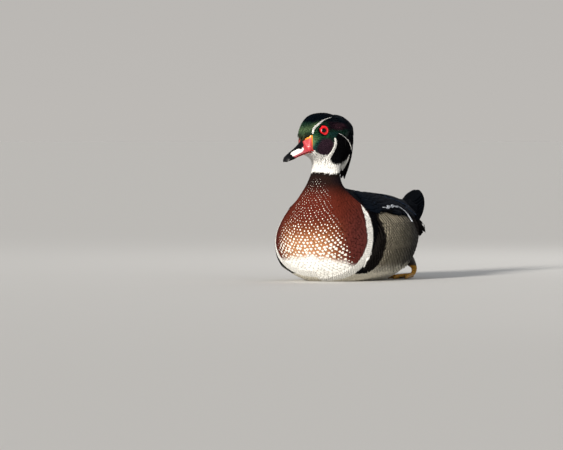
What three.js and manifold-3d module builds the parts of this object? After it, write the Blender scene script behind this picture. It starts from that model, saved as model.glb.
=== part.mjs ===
// A life-size drake wood duck at rest on its belly, as it sits when afloat, with the head turned to its right.
// Millimetres. +X runs forward, towards the bill, +Y to the bird's left and +Z up. The belly's flat is at z = 0.
import * as THREE from 'three';
import { LoftGeometry } from 'three/addons/geometries/LoftGeometry.js';
import { mergeVertices } from 'three/addons/utils/BufferGeometryUtils.js';
import Module from 'manifold-3d';

const wasm = await Module();
wasm.setup();

// Driving sizes
const GAP = 0.3; // between pieces that touch
const HEAD_TURN = -18; // degrees, to the bird's right
const NECK_AXIS_X = 64; // the head turns about this upright line
const AROUND = 32; // points round the body
const VANE = 0.7; // thickness of a feather's vane near its root
const EYE = { x: 82, y: 11.6, z: 179, radius: 7.3, forward: 16, up: 6 };
const WING = { core: 3, from: 10.6, to: 4.3, inner: 4, outer: 56 };
const FLANK = { core: 2.4, from: 10.3, to: 4.9, upper: 60, lower: 82 };

// The body's outline from the side and its half width, from behind the tail root to the face. Each station is a
// plane through a point on the back line and a point on the belly line: back x, back z, belly x, belly z, half
// width, how far down the widest line lies, and how square the section is above and below that line.
const STATIONS = [
  [-160, 92, -158, 86, 5, 0.5, 2, 2], // behind the body, under the tail
  [-140, 84, -138, 74, 6, 0.5, 2, 2],
  [-120, 79.5, -118, 62, 9.5, 0.5, 2, 2], // tail root
  [-110, 80.5, -105, 45, 22, 0.45, 2, 2],
  [-96, 83.5, -88, 24, 35, 0.43, 2, 2], // vent
  [-74, 89.5, -64, 8, 49, 0.44, 2.1, 2.1],
  [-46, 95.5, -34, -2, 62, 0.46, 2.2, 2.2], // rump
  [-16, 100.5, 0, -4, 70.5, 0.48, 2.25, 2.3],
  [12, 103.5, 32, -4, 73, 0.5, 2.25, 2.3], // middle of the back
  [30, 105.5, 62, -2, 72, 0.52, 2.2, 2.3],
  [40, 108, 90, 7, 66.5, 0.55, 2.1, 2.2], // shoulders
  [46, 111, 109, 25, 56.5, 0.58, 2, 2.1],
  [50, 114, 117, 48, 44, 0.58, 2, 2.1], // front of the breast
  [52, 118, 113, 72, 32, 0.56, 2, 2],
  [53, 123, 102, 93, 24.5, 0.54, 2, 2], // foot of the neck
  [52, 130, 91, 112, 19, 0.52, 2, 2],
  [49, 139, 83.5, 127, 17.3, 0.5, 2, 2], // middle of the neck
  [45.5, 148, 82, 137, 18.3, 0.5, 2, 2],
  [41.5, 157, 84, 143.5, 19.3, 0.5, 2, 2], // throat
  [38.5, 167, 88.5, 146.8, 20.5, 0.52, 2, 2],
  [37.8, 177, 93, 148.8, 21.2, 0.54, 2, 2], // back of the head
  [41.5, 187, 96.5, 149.8, 21, 0.56, 2.1, 2],
  [51, 195, 99, 150.3, 20, 0.56, 2.2, 2],
  [65, 199.6, 101, 150.6, 18.6, 0.56, 2.3, 2], // crown
  [80, 199.6, 102.4, 150.8, 17, 0.55, 2.35, 2],
  [91, 195.6, 102.4, 150.9, 14, 0.54, 2.3, 2],
  [98.6, 187.5, 103.4, 151, 11.6, 0.52, 2.2, 2], // forehead
  [102.4, 177.4, 104, 151.1, 9.8, 0.5, 2.1, 2],
  [105.4, 167, 104.6, 151.2, 8.6, 0.5, 2, 2], // foot of the bill
];
const TAIL_ROOT = 2; // stations where the body is parted
const NECK_FROM = 14.2;
const HEAD_FROM = 17.6;
const TURN_FROM = 14; // stations between which the neck twists
const TURN_TO = 17.4;
const FACE = STATIONS.length - 1;

// The crest's back edge from the side, from the crown to its lowest tip: x, z, how deep it wraps and half width
const CREST = [
  [66, 199.4, 10, 13],
  [50, 198.4, 16, 14.5],
  [37.4, 193.6, 20, 15.5],
  [28.8, 185.2, 23, 16],
  [26.4, 172.6, 25, 15.5],
  [26.6, 160, 24, 14],
  [28.6, 147, 20, 11.5],
  [32.4, 134, 15, 8.5],
  [37.6, 121, 10, 5.5],
];

// The top of the folded wings behind the shoulders: x, z on the midline, radius of the curve from side to side
const REAR = [
  [-136, 94.5, 34],
  [-125, 94.3, 36],
  [-105, 94.6, 42],
  [-82, 97.2, 55],
  [-56, 101, 85],
  [-30, 103.5, 110],
  [10, 107, 125],
];

// The bill from the side: top x, top z, bottom x, bottom z, half width
const BILL = [
  [94, 180, 92, 150, 12.6],
  [99, 178, 97, 150, 11.6],
  [103.5, 171, 102, 149.5, 10.8],
  [106.5, 165.4, 106, 149, 10],
  [111.8, 162.4, 111, 148, 9.2],
  [117.5, 158.2, 117, 146.6, 8.7],
  [124.5, 153.8, 124, 144.4, 8],
  [129.2, 150.2, 129, 142, 6.2],
  [132.3, 145.6, 131.6, 140.6, 3.4],
];
const UPPER_SIDE = [[96.2, 155], [96.8, 177.2], [98.4, 175.4], [106, 166], [114, 175], [140, 175], [140, 136]]
  .concat([[131.6, 141.6], [128.6, 145.4], [118, 149.6], [106, 153.4]]);
const LOWER_SIDE = [[96.6, 154.6], [106, 153], [118, 149.2], [128, 145.2], [127, 142.6], [118, 145.6], [106, 149.8]]
  .concat([[99, 151.4]]);

const rad = THREE.MathUtils.degToRad;
const lerp = THREE.MathUtils.lerp;
const clamp = THREE.MathUtils.clamp;
const smooth = (t) => THREE.MathUtils.smoothstep(t, 0, 1);
const v3 = (x, y, z) => new THREE.Vector3(x, y, z);

// A smooth row between the rows of a table, by the Catmull-Rom rule
function rowAt(table, u) {
  const i = clamp(Math.floor(u), 0, table.length - 2);
  const t = u - i;
  const [a, b, c, d] = [-1, 0, 1, 2].map((k) => table[clamp(i + k, 0, table.length - 1)]);
  return b.map((value, k) => {
    const from = (c[k] - a[k]) / 2;
    const to = (d[k] - b[k]) / 2;
    const rise = c[k] - value;
    return value + from * t + (3 * rise - 2 * from - to) * t * t + (from + to - 2 * rise) * t * t * t;
  });
}

const turnedPoint = (point, share) =>
  point.sub(v3(NECK_AXIS_X, 0, 0)).applyAxisAngle(v3(0, 0, 1), rad(HEAD_TURN) * share).add(v3(NECK_AXIS_X, 0, 0));
const turned = (shape) => shape.translate([-NECK_AXIS_X, 0, 0]).rotate([0, 0, HEAD_TURN]).translate([NECK_AXIS_X, 0, 0]);

// A point of the body's surface before the head is turned: u along the stations, angle from the back line (0) round
// the left side (positive) or the right side (negative) to the belly line.
function straight(u, angle) {
  const [backX, backZ, bellyX, bellyZ, half, middle, above, below] = rowAt(STATIONS, u);
  const c = Math.cos(angle);
  const s = Math.sin(angle);
  const power = 2 / (c > 0 ? above : below);
  const reach = Math.abs(c) ** power;
  const down = c > 0 ? middle * (1 - reach) : middle + (1 - middle) * reach;
  const side = Math.sign(s) * half * Math.abs(s) ** power;
  return v3(backX + (bellyX - backX) * down, side, backZ + (bellyZ - backZ) * down);
}

const body = (u, angle) => turnedPoint(straight(u, angle), smooth((u - TURN_FROM) / (TURN_TO - TURN_FROM)));

// The crest's outside: u from the crown (0) to the lowest tip (1), angle from the back edge round either side
function crest(u, angle) {
  const row = rowAt(CREST, u * (CREST.length - 1));
  const next = rowAt(CREST, u * (CREST.length - 1) + 0.05);
  const last = rowAt(CREST, u * (CREST.length - 1) - 0.05);
  const along = v3(next[0] - last[0], 0, next[1] - last[1]).normalize();
  const inward = v3(-along.z, 0, along.x);
  const depth = row[2] * (1 - Math.cos(angle));
  return v3(row[0], -row[3] * Math.sin(angle), row[1]).addScaledVector(inward, depth);
}

// The top of the folded wings: u is x / 100, and the angle in degrees is the way out from the midline in millimetres
function rear(u, angle) {
  const x = u * 100;
  const k = clamp(REAR.findIndex((row) => row[0] > x) - 1, 0, REAR.length - 2);
  const [, z, radius] = rowAt(REAR, k + (x - REAR[k][0]) / (REAR[k + 1][0] - REAR[k][0]));
  const side = THREE.MathUtils.radToDeg(angle);
  return v3(x, side, z - (side * side) / (2 * radius));
}

// The tail's top: u from its root (0) to the tips (1), angle across the fan, positive to the right
function fan(u, angle) {
  const droop = 24 * (1 - Math.cos(angle));
  return v3(-104 - 51 * u, -Math.sin(angle) * (11 + 11 * u), 80.5 + 28 * u ** 1.15 - droop);
}

// Below the tail, facing down: u from the vent (0) to the tips (1)
function vent(u, angle) {
  const side = Math.sin(angle) * (14 + 12 * u);
  return v3(-120 - 28 * u, side, 62 - 3 * u + 0.03 * side * side);
}

function normalOf(sheet, u, angle) {
  const e = 0.004;
  const along = sheet(u + e, angle).sub(sheet(u - e, angle));
  const around = sheet(u, angle + e).sub(sheet(u, angle - e));
  return along.cross(around).normalize();
}

const over = (sheet, u, angle, lift) => sheet(u, angle).addScaledVector(normalOf(sheet, u, angle), lift);

// Millimetres for each radian round a sheet
const around = (sheet, u, angle) => sheet(u, angle + 0.02).distanceTo(sheet(u, angle - 0.02)) / 0.04;

// The direction from tail to head, square to a station's plane
function onward(sheet, u) {
  const down = sheet(u, Math.PI).sub(sheet(u, 0));
  const across = sheet(u, Math.PI / 2).sub(sheet(u, -Math.PI / 2));
  return down.cross(across).normalize();
}

// A geometry as a manifold-3d solid, turned the right way out
function solid(source) {
  const bare = new THREE.BufferGeometry();
  bare.setAttribute('position', source.getAttribute('position').clone());
  bare.setIndex(source.index ? source.index.clone() : null);
  const merged = mergeVertices(bare, 1e-4);
  const index = [];
  for (let i = 0; i < merged.index.count; i += 3) {
    const [a, b, c] = [0, 1, 2].map((k) => merged.index.getX(i + k));
    if (a !== b && b !== c && c !== a) index.push(a, b, c);
  }
  const vertProperties = merged.attributes.position.array;
  const make = (triVerts) => new wasm.Manifold(new wasm.Mesh({ numProp: 3, vertProperties, triVerts }));
  const made = make(new Uint32Array(index));
  return made.volume() > 0 ? made : make(new Uint32Array(index.reverse()));
}

// A closed skin over rings of points, each turned to run anticlockwise as seen from the last ring
function loft(rings) {
  const middle = (ring) => ring.reduce((sum, point) => sum.add(point), v3(0, 0, 0)).divideScalar(ring.length);
  const area = v3(0, 0, 0);
  rings[0].forEach((point, i, ring) => area.add(point.clone().cross(ring[(i + 1) % ring.length])));
  const agrees = area.dot(middle(rings[1]).sub(middle(rings[0]))) > 0;
  const sections = rings.map((ring) => (agrees ? ring : [...ring].reverse()));
  return solid(new LoftGeometry(sections, { capStart: true, capEnd: true }));
}

const union = (shapes) => wasm.Manifold.union(shapes);
const largest = (shape) => shape.decompose().reduce((a, b) => (a.volume() > b.volume() ? a : b));
const mirrored = (shape) => shape.mirror([0, 1, 0]);

const duck = new THREE.Group();

// A solid's largest closed surface, as a named mesh
function add(name, shape, color, roughness, metalness = 0) {
  const found = largest(largest(shape).simplify(0.01)).getMesh();
  const geometry = new THREE.BufferGeometry();
  const points = new Float32Array(found.numVert * 3);
  for (let i = 0; i < found.numVert; i += 1) {
    points.set(found.vertProperties.subarray(i * found.numProp, i * found.numProp + 3), i * 3);
  }
  geometry.setAttribute('position', new THREE.BufferAttribute(points, 3));
  geometry.setIndex(new THREE.BufferAttribute(found.triVerts, 1));
  geometry.computeVertexNormals();
  const mesh = new THREE.Mesh(geometry, new THREE.MeshStandardMaterial({ color, roughness, metalness }));
  mesh.name = name;
  duck.add(mesh);
}

// Flesh: a stretch of the body between two stations, its belly flat at z = 0, grown or parted from what is behind it
function flesh(sheet, from, to, steps, grow = 0, parted = 0) {
  const sections = [];
  for (let i = 0; i <= steps; i += 1) {
    const u = lerp(from, to, i / steps);
    const shift = i === 0 ? parted - grow : Number(i === steps) * grow;
    const step = onward(sheet, u).multiplyScalar(shift);
    const ring = [];
    for (let j = 0; j < AROUND; j += 1) {
      const point = over(sheet, u, (j / AROUND) * 2 * Math.PI, grow).add(step);
      point.z = Math.max(point.z, -grow);
      ring.push(point);
    }
    sections.push(ring);
  }
  return loft(sections);
}

// A shell laid on a sheet between two lines along it, with rounded ends, `thickAt` a place and thinner at its rims
function shell(sheet, from, to, steps, low, high, across, thickAt, rim) {
  const sections = [];
  for (let i = 0; i <= steps; i += 1) {
    const top = [];
    const under = [];
    for (let j = 0; j <= across; j += 1) {
      const side = (2 * j) / across - 1;
      const inset = 0.14 * (1 - Math.sqrt(1 - 0.96 * side ** 4));
      const u = lerp(from, to, lerp(inset, 1 - inset, i / steps));
      const angle = rad(lerp(low, high, j / across));
      const inside = Math.min(1, 2.2 * Math.sin((Math.PI * j) / across)) * Math.min(1, 2.6 * Math.sin((Math.PI * i) / steps));
      top.push(over(sheet, u, angle, lerp(rim, thickAt(u), smooth(inside))));
      under.unshift(over(sheet, u, angle, -2));
    }
    sections.push(top.concat(under));
  }
  return loft(sections);
}

// A vane from rows of three top points with their upward directions; both faces are split alike
function vaneOf(rows, thickAt) {
  const points = [];
  const index = [];
  const last = rows.length - 1;
  rows.forEach((row, k) => {
    row.forEach(({ point }) => points.push(point));
    row.forEach(({ point, up }) => points.push(point.clone().addScaledVector(up, -thickAt(k / last))));
  });
  const quad = (a, b, c, d) => index.push(a, b, c, a, c, d);
  for (let k = 0; k < last; k += 1) {
    const a = k * 6;
    for (let j = 0; j < 2; j += 1) {
      quad(a + j, a + j + 1, a + j + 7, a + j + 6);
      index.push(a + j + 3, a + j + 10, a + j + 4, a + j + 3, a + j + 9, a + j + 10);
    }
    quad(a, a + 6, a + 9, a + 3);
    quad(a + 2, a + 5, a + 11, a + 8);
  }
  const z = last * 6;
  [[0, 3, 4, 1], [1, 4, 5, 2]].forEach(([a, b, c, d]) => {
    quad(a, b, c, d);
    quad(z + d, z + c, z + b, z + a);
  });
  const geometry = new THREE.BufferGeometry().setFromPoints(points);
  geometry.setIndex(index);
  return solid(geometry);
}

const ROUND = (t) => [0.42, 0.8, 1, 0.92, 0.4][Math.round(t * 4)];
const BLUNT = (t) => [0.5, 0.85, 1, 1, 0.62][Math.round(t * 4)];
const POINTED = (t) => [0.5, 0.9, 1, 0.72, 0.2][Math.round(t * 4)];

// A feather laid on a sheet from one place to another, its root sunk and its tip raised. `roll` lifts one edge, so
// that neighbours lie over one another like tiles.
function laid(sheet, from, to, size) {
  const { half, lift, rise, roll = 0, sink = 1.6, shape = ROUND, inner = 1, thick = VANE } = size;
  const rows = [0, 0.22, 0.48, 0.76, 1].map((t, k) => {
    const u = lerp(from[0], to[0], t);
    const angle = rad(lerp(from[1], to[1], t));
    const width = half * shape(k / 4);
    const height = lift + rise * t - sink * (1 - smooth(t / 0.22));
    return [-inner, 0, 1].map((side) => {
      const offset = side * width;
      const at = angle + offset / around(sheet, u, angle);
      return { point: over(sheet, u, at, height + roll * offset), up: normalOf(sheet, u, at) };
    });
  });
  return vaneOf(rows, (t) => lerp(thick, 0.5, t));
}

// A round limb along a path of points, each with its radius
function limb(path, sides = 10) {
  const centres = path.map(([x, y, z]) => v3(x, y, z));
  const sections = centres.map((centre, i) => {
    const along = centres[Math.min(i + 1, path.length - 1)].clone().sub(centres[Math.max(i - 1, 0)]).normalize();
    const across = v3(0, 1, 0.2).cross(along).normalize();
    const up = along.clone().cross(across);
    return Array.from({ length: sides }, (unused, j) => {
      const a = (j / sides) * 2 * Math.PI;
      const point = centre.clone().addScaledVector(across, path[i][3] * Math.cos(a));
      return point.addScaledVector(up, path[i][3] * Math.sin(a));
    });
  });
  return loft(sections);
}

// A side outline as a wide prism across the head
function prism(outline, grow = 0) {
  const shape = new THREE.Shape(outline.map(([x, z]) => new THREE.Vector2(x, z)));
  const cut = solid(new THREE.ExtrudeGeometry(shape, { depth: 60, bevelEnabled: false }).translate(0, 0, -30));
  const upright = cut.rotate([90, 0, 0]);
  if (grow === 0) return upright;
  const shifts = [[0, 1], [1, 0], [0, -1], [-1, 0], [0.7, 0.7], [-0.7, 0.7], [0.7, -0.7], [-0.7, -0.7]];
  return union(shifts.map(([x, z]) => upright.translate([x * grow, 0, z * grow])));
}

// The flesh
const torso = flesh(body, TAIL_ROOT, NECK_FROM, 35);
const torsoGrown = flesh(body, TAIL_ROOT, NECK_FROM, 35, GAP);
const neck = flesh(body, NECK_FROM, HEAD_FROM, 9, 0, GAP);
const skull = flesh(straight, HEAD_FROM, FACE, 21, 0, GAP);
const skullGrown = flesh(straight, HEAD_FROM, FACE, 21, GAP, GAP);
const neckGrown = flesh(body, NECK_FROM, HEAD_FROM, 9, GAP, GAP);

// The bill
const billLoft = loft(BILL.map(([topX, topZ, lowX, lowZ, half]) => Array.from({ length: 18 }, (unused, j) => {
  const a = (j / 18) * 2 * Math.PI;
  const t = 0.5 - 0.5 * Math.sign(Math.cos(a)) * Math.abs(Math.cos(a)) ** 0.75;
  const y = half * Math.sign(Math.sin(a)) * Math.abs(Math.sin(a)) ** 0.8;
  return v3(lerp(topX, lowX, t), -y, lerp(topZ, lowZ, t));
})));
const nostrils = [1, -1].map((side) => wasm.Manifold.sphere(1.7, 12).scale([1.7, 0.7, 1])
  .rotate([0, 25, 0]).translate([111.5, side * 7.2, 159.8]));
const billUpper = billLoft.intersect(prism(UPPER_SIDE)).subtract(union(nostrils));
const billLower = billLoft.intersect(prism(LOWER_SIDE));
const billRoom = union([prism(UPPER_SIDE, GAP), prism(LOWER_SIDE, GAP)]);

// The eyes, their sockets and the raised rims of the lids
const eyeAt = (side) => [EYE.x, side * EYE.y, EYE.z];
const ball = (radius, side) => wasm.Manifold.sphere(radius, 16).translate(eyeAt(side));
const lidRim = (side) => {
  const torus = solid(new THREE.TorusGeometry(5.4, 1, 6, 22).scale(1, 0.96, 1.4));
  return torus.translate([0, 0, 5.2]).rotate([-side * 90, 0, 0]).rotate([EYE.up * side, 0, -side * EYE.forward])
    .translate(eyeAt(side));
};
const sockets = union([ball(EYE.radius + GAP, 1), ball(EYE.radius + GAP, -1)]);
const head = union([skull, lidRim(1), lidRim(-1)]).subtract(sockets).subtract(billRoom);

// The crest: a core half as deep as the plumes, and the plumes in tiers down the back of the head
const crestCore = loft(Array.from({ length: 12 }, (unused, i) => Array.from({ length: 16 }, (unused2, j) =>
  over(crest, lerp(0.03, 0.8, i / 11), (j / 16) * 2 * Math.PI, -4))));
const plumes = [];
[[0.14, 0.6, 7, 58, 0.6], [0.36, 1, 7, 54, -1.8]].forEach(([start, end, count, spread, lift]) => {
  for (let i = 0; i < count; i += 1) {
    const angle = lerp(-spread, spread, i / (count - 1));
    const short = 0.08 * (1 - Math.cos(rad(angle * 1.4)));
    const size = { half: 4.2, lift, rise: 0, roll: 0.21, sink: 4.4 + lift, shape: POINTED };
    plumes.push(laid(crest, [start, angle], [end - short, angle * 0.75], size));
  }
});
const crestSolid = turned(union([crestCore, ...plumes]).subtract(skullGrown)).subtract(neckGrown);

// The wings: a core over the back, rows of short feathers, and the flight feathers in tiers back over the rump
const wingThick = (u) => lerp(5, WING.core, smooth((u - 5.4) / 1.6));
const wingCore = shell(body, WING.to, WING.from, 13, WING.inner, WING.outer, 6, wingThick, 1.6);
const wingVanes = [];
[[10.1, 13], [9.2, 17], [8.3, 13], [7.5, 33]].forEach(([u, first], row) => {
  for (let i = 0; i < (row === 3 ? 2 : 4); i += 1) {
    const size = { half: 7.2, lift: WING.core + 0.9, rise: 3.4, roll: 0.11 };
    wingVanes.push(laid(body, [u, first + i * 8.6], [u - 1.6, first - 2 + i * 8.6], size));
  }
});
const FLIGHT = [
  { name: 'tertials', count: 4, roots: [[-18, 10], [-34, 26]], tips: [[-110, 9], [-86, 25]], half: 8, lift: 1, roll: 0.2 },
  { name: 'secondaries', count: 4, roots: [[-42, 24], [-54, 40]], tips: [[-104, 20], [-88, 35]], half: 6.5, lift: -2.5, roll: 0.21 },
  { name: 'primaries', count: 5, roots: [[-66, 12], [-74, 27]], tips: [[-121, 8], [-106, 23]], half: 5.4, lift: -5.9, roll: 0.29 },
];
FLIGHT.forEach(({ count, roots, tips, half, lift, roll }) => {
  for (let i = 0; i < count; i += 1) {
    const t = i / (count - 1);
    const [root, tip] = [roots, tips].map(([a, b]) => [lerp(a[0], b[0], t) / 100, lerp(a[1], b[1], t)]);
    wingVanes.push(laid(rear, root, tip, { half, lift, rise: 0, roll, sink: 3, shape: BLUNT }));
  }
});
const wing = union([wingCore, ...wingVanes]).subtract(torsoGrown);

// The flanks
const flankCore = shell(body, FLANK.to, FLANK.from, 10, FLANK.upper, FLANK.lower, 3, () => FLANK.core, 1.5);
const flankVanes = [];
for (let i = 0; i < 8; i += 1) {
  const u = 10 - i * 0.58;
  const size = { half: 8.6, lift: FLANK.core + 0.9, rise: 3 };
  flankVanes.push(laid(body, [u, 72], [u - 1.5, 61], size));
}
const flank = union([flankCore, ...flankVanes]).subtract(torsoGrown);

// The tail: fourteen feathers over a core, and the long ones below it
const TAIL_CORE = [[-120.3, 72, 9, 9.5], [-126, 80.5, 10.6, 11], [-134, 86, 9.8, 11], [-142, 92, 6.5, 8.5]];
const tailCore = loft(TAIL_CORE.map(([x, z, high, wide]) => Array.from({ length: 14 }, (unused, j) => {
  const a = (j / 14) * 2 * Math.PI;
  return v3(x, wide * Math.cos(a), z + high * Math.sin(a));
})));
const rectrices = [];
for (let i = 0; i < 7; i += 1) {
  const inner = [0.1, 0.7, 1, 1, 1, 1, 1][i];
  const size = { half: 6, lift: -1.05 * i, rise: 0, sink: 0, shape: BLUNT, inner };
  const feather = laid(fan, [0.34, -2 - i * 11.5], [1 - i * 0.05, -2.2 - i * 11.5], size);
  rectrices.push(feather, mirrored(feather));
}
for (let i = -2; i <= 2; i += 1) {
  const size = { half: 6, lift: 0.5, rise: 0, roll: 0.17, sink: 3, shape: POINTED };
  rectrices.push(laid(vent, [0, i * 22], [1 - Math.abs(i) * 0.12, i * 16], size));
}
for (let i = -1; i <= 1; i += 1) {
  const size = { half: 6, lift: -7, rise: 0, roll: 0.17, sink: 2, shape: POINTED };
  rectrices.push(laid(vent, [0.1, i * 24], [0.95 - Math.abs(i) * 0.1, i * 18], size));
}
const tail = union([tailCore, ...rectrices]).subtract(torsoGrown);

// The legs and webbed feet, tucked under behind the belly
const legRaw = limb([[-76, 26, 30, 8], [-88, 28, 22, 6.5], [-98, 29.5, 13, 3.4], [-96, 30, 6.5, 2.4], [-88, 30.5, 3, 2.2]]);
const leg = legRaw.subtract(torsoGrown).trimByPlane([0, 0, 1], 0.4).trimByPlane([-1, 0, 0], 90);
const toes = [[-52, 21], [-43, 33], [-49, 45.5]].map(([x, y]) =>
  limb([[-90, 31, 1.4, 2], [(x - 90) / 2, (y + 31) / 2, 1.3, 1.7], [x, y, 0.7, 0.9]], 8));
const webShape = new THREE.Shape([[-91, 31], [-52, 21.4], [-50, 27], [-43, 33], [-49, 39], [-49.5, 45]].map(([x, y]) =>
  new THREE.Vector2(x, y)));
const web = solid(new THREE.ExtrudeGeometry(webShape, { depth: 1.1, bevelEnabled: false }));
const foot = union([web, ...toes]).trimByPlane([0, 0, 1], 0).trimByPlane([1, 0, 0], -89.7);

const DARK = 0x1b2a33;
add('torso', torso, 0x6b2a1c, 0.8);
add('neck', neck, 0x54211c, 0.8);
add('head', turned(head), 0x12452f, 0.5);
add('crest', crestSolid, 0x1a3f3a, 0.45);
add('bill_upper', turned(billUpper), 0xb8321f, 0.4);
add('bill_lower', turned(billLower), 0x2a1c1a, 0.5);
[['left', 1], ['right', -1]].forEach(([name, side]) => {
  const placed = (shape) => (side > 0 ? shape : mirrored(shape));
  add(`eye_${name}`, turned(ball(EYE.radius, side)), 0xc41a10, 0.1);
  add(`wing_${name}`, placed(wing), DARK, 0.5);
  add(`flank_${name}`, placed(flank), 0xb98a4a, 0.8);
  add(`leg_${name}`, placed(leg), 0xc08a2a, 0.6);
  add(`foot_${name}`, placed(foot), 0xb07c28, 0.6);
});
add('tail', tail, 0x171c20, 0.6);

// The whole is set so that its box is centred on the origin
const box = new THREE.Box3().setFromObject(duck);
duck.position.set(-(box.min.x + box.max.x) / 2, -(box.min.y + box.max.y) / 2, -box.min.z);
export default duck;
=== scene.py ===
"""A drake wood duck at rest, life-size, feather by feather, as a museum would show it."""

import itertools
import math

import bpy
import numpy as np
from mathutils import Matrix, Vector


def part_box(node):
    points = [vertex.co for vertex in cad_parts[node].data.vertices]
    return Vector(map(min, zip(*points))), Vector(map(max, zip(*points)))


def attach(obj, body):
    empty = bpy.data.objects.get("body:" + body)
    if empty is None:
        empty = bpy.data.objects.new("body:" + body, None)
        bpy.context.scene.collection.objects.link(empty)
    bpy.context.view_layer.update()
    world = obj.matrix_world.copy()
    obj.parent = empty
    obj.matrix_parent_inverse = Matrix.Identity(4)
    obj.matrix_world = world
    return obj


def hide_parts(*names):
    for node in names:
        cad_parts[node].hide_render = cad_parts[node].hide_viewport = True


bl_info = {
    "name": "Wood Duck Drake",
    "version": (1, 0, 0),
    "blender": (4, 5, 0),
    "location": "View3D > Sidebar > Wood Duck",
    "description": "Builds a life-size drake wood duck: skin, plumage, bill, eyes and feet",
    "category": "Object",
}

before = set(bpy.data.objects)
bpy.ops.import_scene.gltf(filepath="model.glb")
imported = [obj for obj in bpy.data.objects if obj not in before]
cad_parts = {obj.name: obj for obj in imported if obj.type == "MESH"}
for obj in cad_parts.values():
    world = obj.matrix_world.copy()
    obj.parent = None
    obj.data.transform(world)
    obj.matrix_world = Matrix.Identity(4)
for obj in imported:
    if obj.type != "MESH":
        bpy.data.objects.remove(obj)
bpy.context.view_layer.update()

# The body's outline in millimetres, from behind the tail root to the face. Each row is a plane through a
# point on the back line and a point on the belly line: back x, back z, belly x, belly z, half width, how far
# down the widest line lies, and how square the section is above and below that line.
STATIONS = np.array([
    [-160, 92, -158, 86, 5, 0.5, 2, 2],
    [-140, 84, -138, 74, 6, 0.5, 2, 2],
    [-120, 79.5, -118, 62, 9.5, 0.5, 2, 2],
    [-110, 80.5, -105, 45, 22, 0.45, 2, 2],
    [-96, 83.5, -88, 24, 35, 0.43, 2, 2],
    [-74, 89.5, -64, 8, 49, 0.44, 2.1, 2.1],
    [-46, 95.5, -34, -2, 62, 0.46, 2.2, 2.2],
    [-16, 100.5, 0, -4, 70.5, 0.48, 2.25, 2.3],
    [12, 103.5, 32, -4, 73, 0.5, 2.25, 2.3],
    [30, 105.5, 62, -2, 72, 0.52, 2.2, 2.3],
    [40, 108, 90, 7, 66.5, 0.55, 2.1, 2.2],
    [46, 111, 109, 25, 56.5, 0.58, 2, 2.1],
    [50, 114, 117, 48, 44, 0.58, 2, 2.1],
    [52, 118, 113, 72, 32, 0.56, 2, 2],
    [53, 123, 102, 93, 24.5, 0.54, 2, 2],
    [52, 130, 91, 112, 19, 0.52, 2, 2],
    [49, 139, 83.5, 127, 17.3, 0.5, 2, 2],
    [45.5, 148, 82, 137, 18.3, 0.5, 2, 2],
    [41.5, 157, 84, 143.5, 19.3, 0.5, 2, 2],
    [38.5, 167, 88.5, 146.8, 20.5, 0.52, 2, 2],
    [37.8, 177, 93, 148.8, 21.2, 0.54, 2, 2],
    [41.5, 187, 96.5, 149.8, 21, 0.56, 2.1, 2],
    [51, 195, 99, 150.3, 20, 0.56, 2.2, 2],
    [65, 199.6, 101, 150.6, 18.6, 0.56, 2.3, 2],
    [80, 199.6, 102.4, 150.8, 17, 0.55, 2.35, 2],
    [91.4, 196.4, 102.4, 150.9, 14, 0.54, 2.3, 2],
    [99.4, 188.3, 103.2, 151, 11.4, 0.52, 2.2, 2],
    [103.4, 177.8, 103.8, 151.1, 9.4, 0.5, 2.1, 2],
    [105.2, 170.4, 104.6, 151.2, 7.8, 0.5, 2, 2],
    [106.8, 168.6, 105.4, 153, 5.2, 0.5, 2, 2],
    [107.8, 167.6, 106.0, 156, 2.2, 0.5, 2, 2],
])
# Places along the stations, and the head's turn in degrees about the upright line at NECK_AXIS
TAIL_ROOT, SHOULDER, THROAT, HEAD, FACE = 2, 10.2, 15.2, 17, 30
TURN_FROM, TURN_TO, HEAD_TURN, NECK_AXIS = 14, 17.4, -18, 64

# The crest's back edge: x, z, how deep it wraps and half width
CREST = np.array([
    [66, 198.4, 10, 13],
    [50, 197.4, 16, 14.5],
    [37.6, 193, 20, 15.5],
    [28.8, 185.2, 23, 16],
    [26.4, 172.6, 25, 15.5],
    [26.6, 160, 24, 14],
    [28.6, 147, 20, 11.5],
    [32.4, 134, 18, 8.5],
    [37.6, 121, 17, 6],
])

# The top of the folded wings: x, z on the midline, radius of the curve from side to side
REAR = np.array([
    [-136, 94.5, 34],
    [-125, 94.3, 36],
    [-105, 94.6, 42],
    [-82, 97.2, 55],
    [-56, 101, 85],
    [-30, 103.5, 110],
    [10, 107, 125],
])

# The long wing feathers in tiers: how many, roots of the innermost and outermost as x and y, their tips,
# half width, lift, roll and how pale blue their edges are, partly their own pale edges and partly a painted
# sheen
TIERS = (
    (4, (-66, 12), (-74, 27), (-121, 8), (-106, 23), 5.6, -5.0, 0.27, 0.5),
    (6, (-42, 22), (-56, 40), (-106, 18), (-90, 36), 6.6, -2.4, 0.21, 0.8),
    (5, (-16, 8), (-36, 27), (-111, 8), (-84, 26), 8.6, 0.8, 0.2, 0.6),
)

# The bill from the side: top x, top z, low x, low z, half width, then what the looks add to it at its base
BILL = np.array([
    [94, 180, 92, 150, 12.6],
    [99, 178, 97, 150, 11.6],
    [103.5, 171, 102, 149.5, 10.8],
    [106.5, 165.4, 106, 149, 10],
    [111.8, 162.4, 111, 148, 9.2],
    [117.5, 158.2, 117, 146.6, 8.7],
    [124.5, 153.8, 124, 144.4, 8],
    [129.2, 150.2, 129, 142, 6.2],
    [132.3, 145.6, 131.6, 140.6, 3.4],
])
BASE_MORE = [[0, 6, 0, 0, 0.6], [0, 4.6, 0, 0, 0.4], [0.6, 2.2, 0, 0, 0], [1.2, 1.0, 0, 0, 0]]
BILL_TOP = BILL + np.pad(BASE_MORE, ((0, 5), (0, 0)))
BILL_END = np.array([131.6, 0, 143.5])
TOMIUM = np.array([[96.2, 155.2], [106, 153.6], [118, 149.8], [128.6, 145.6], [132.4, 141.6]])

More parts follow.
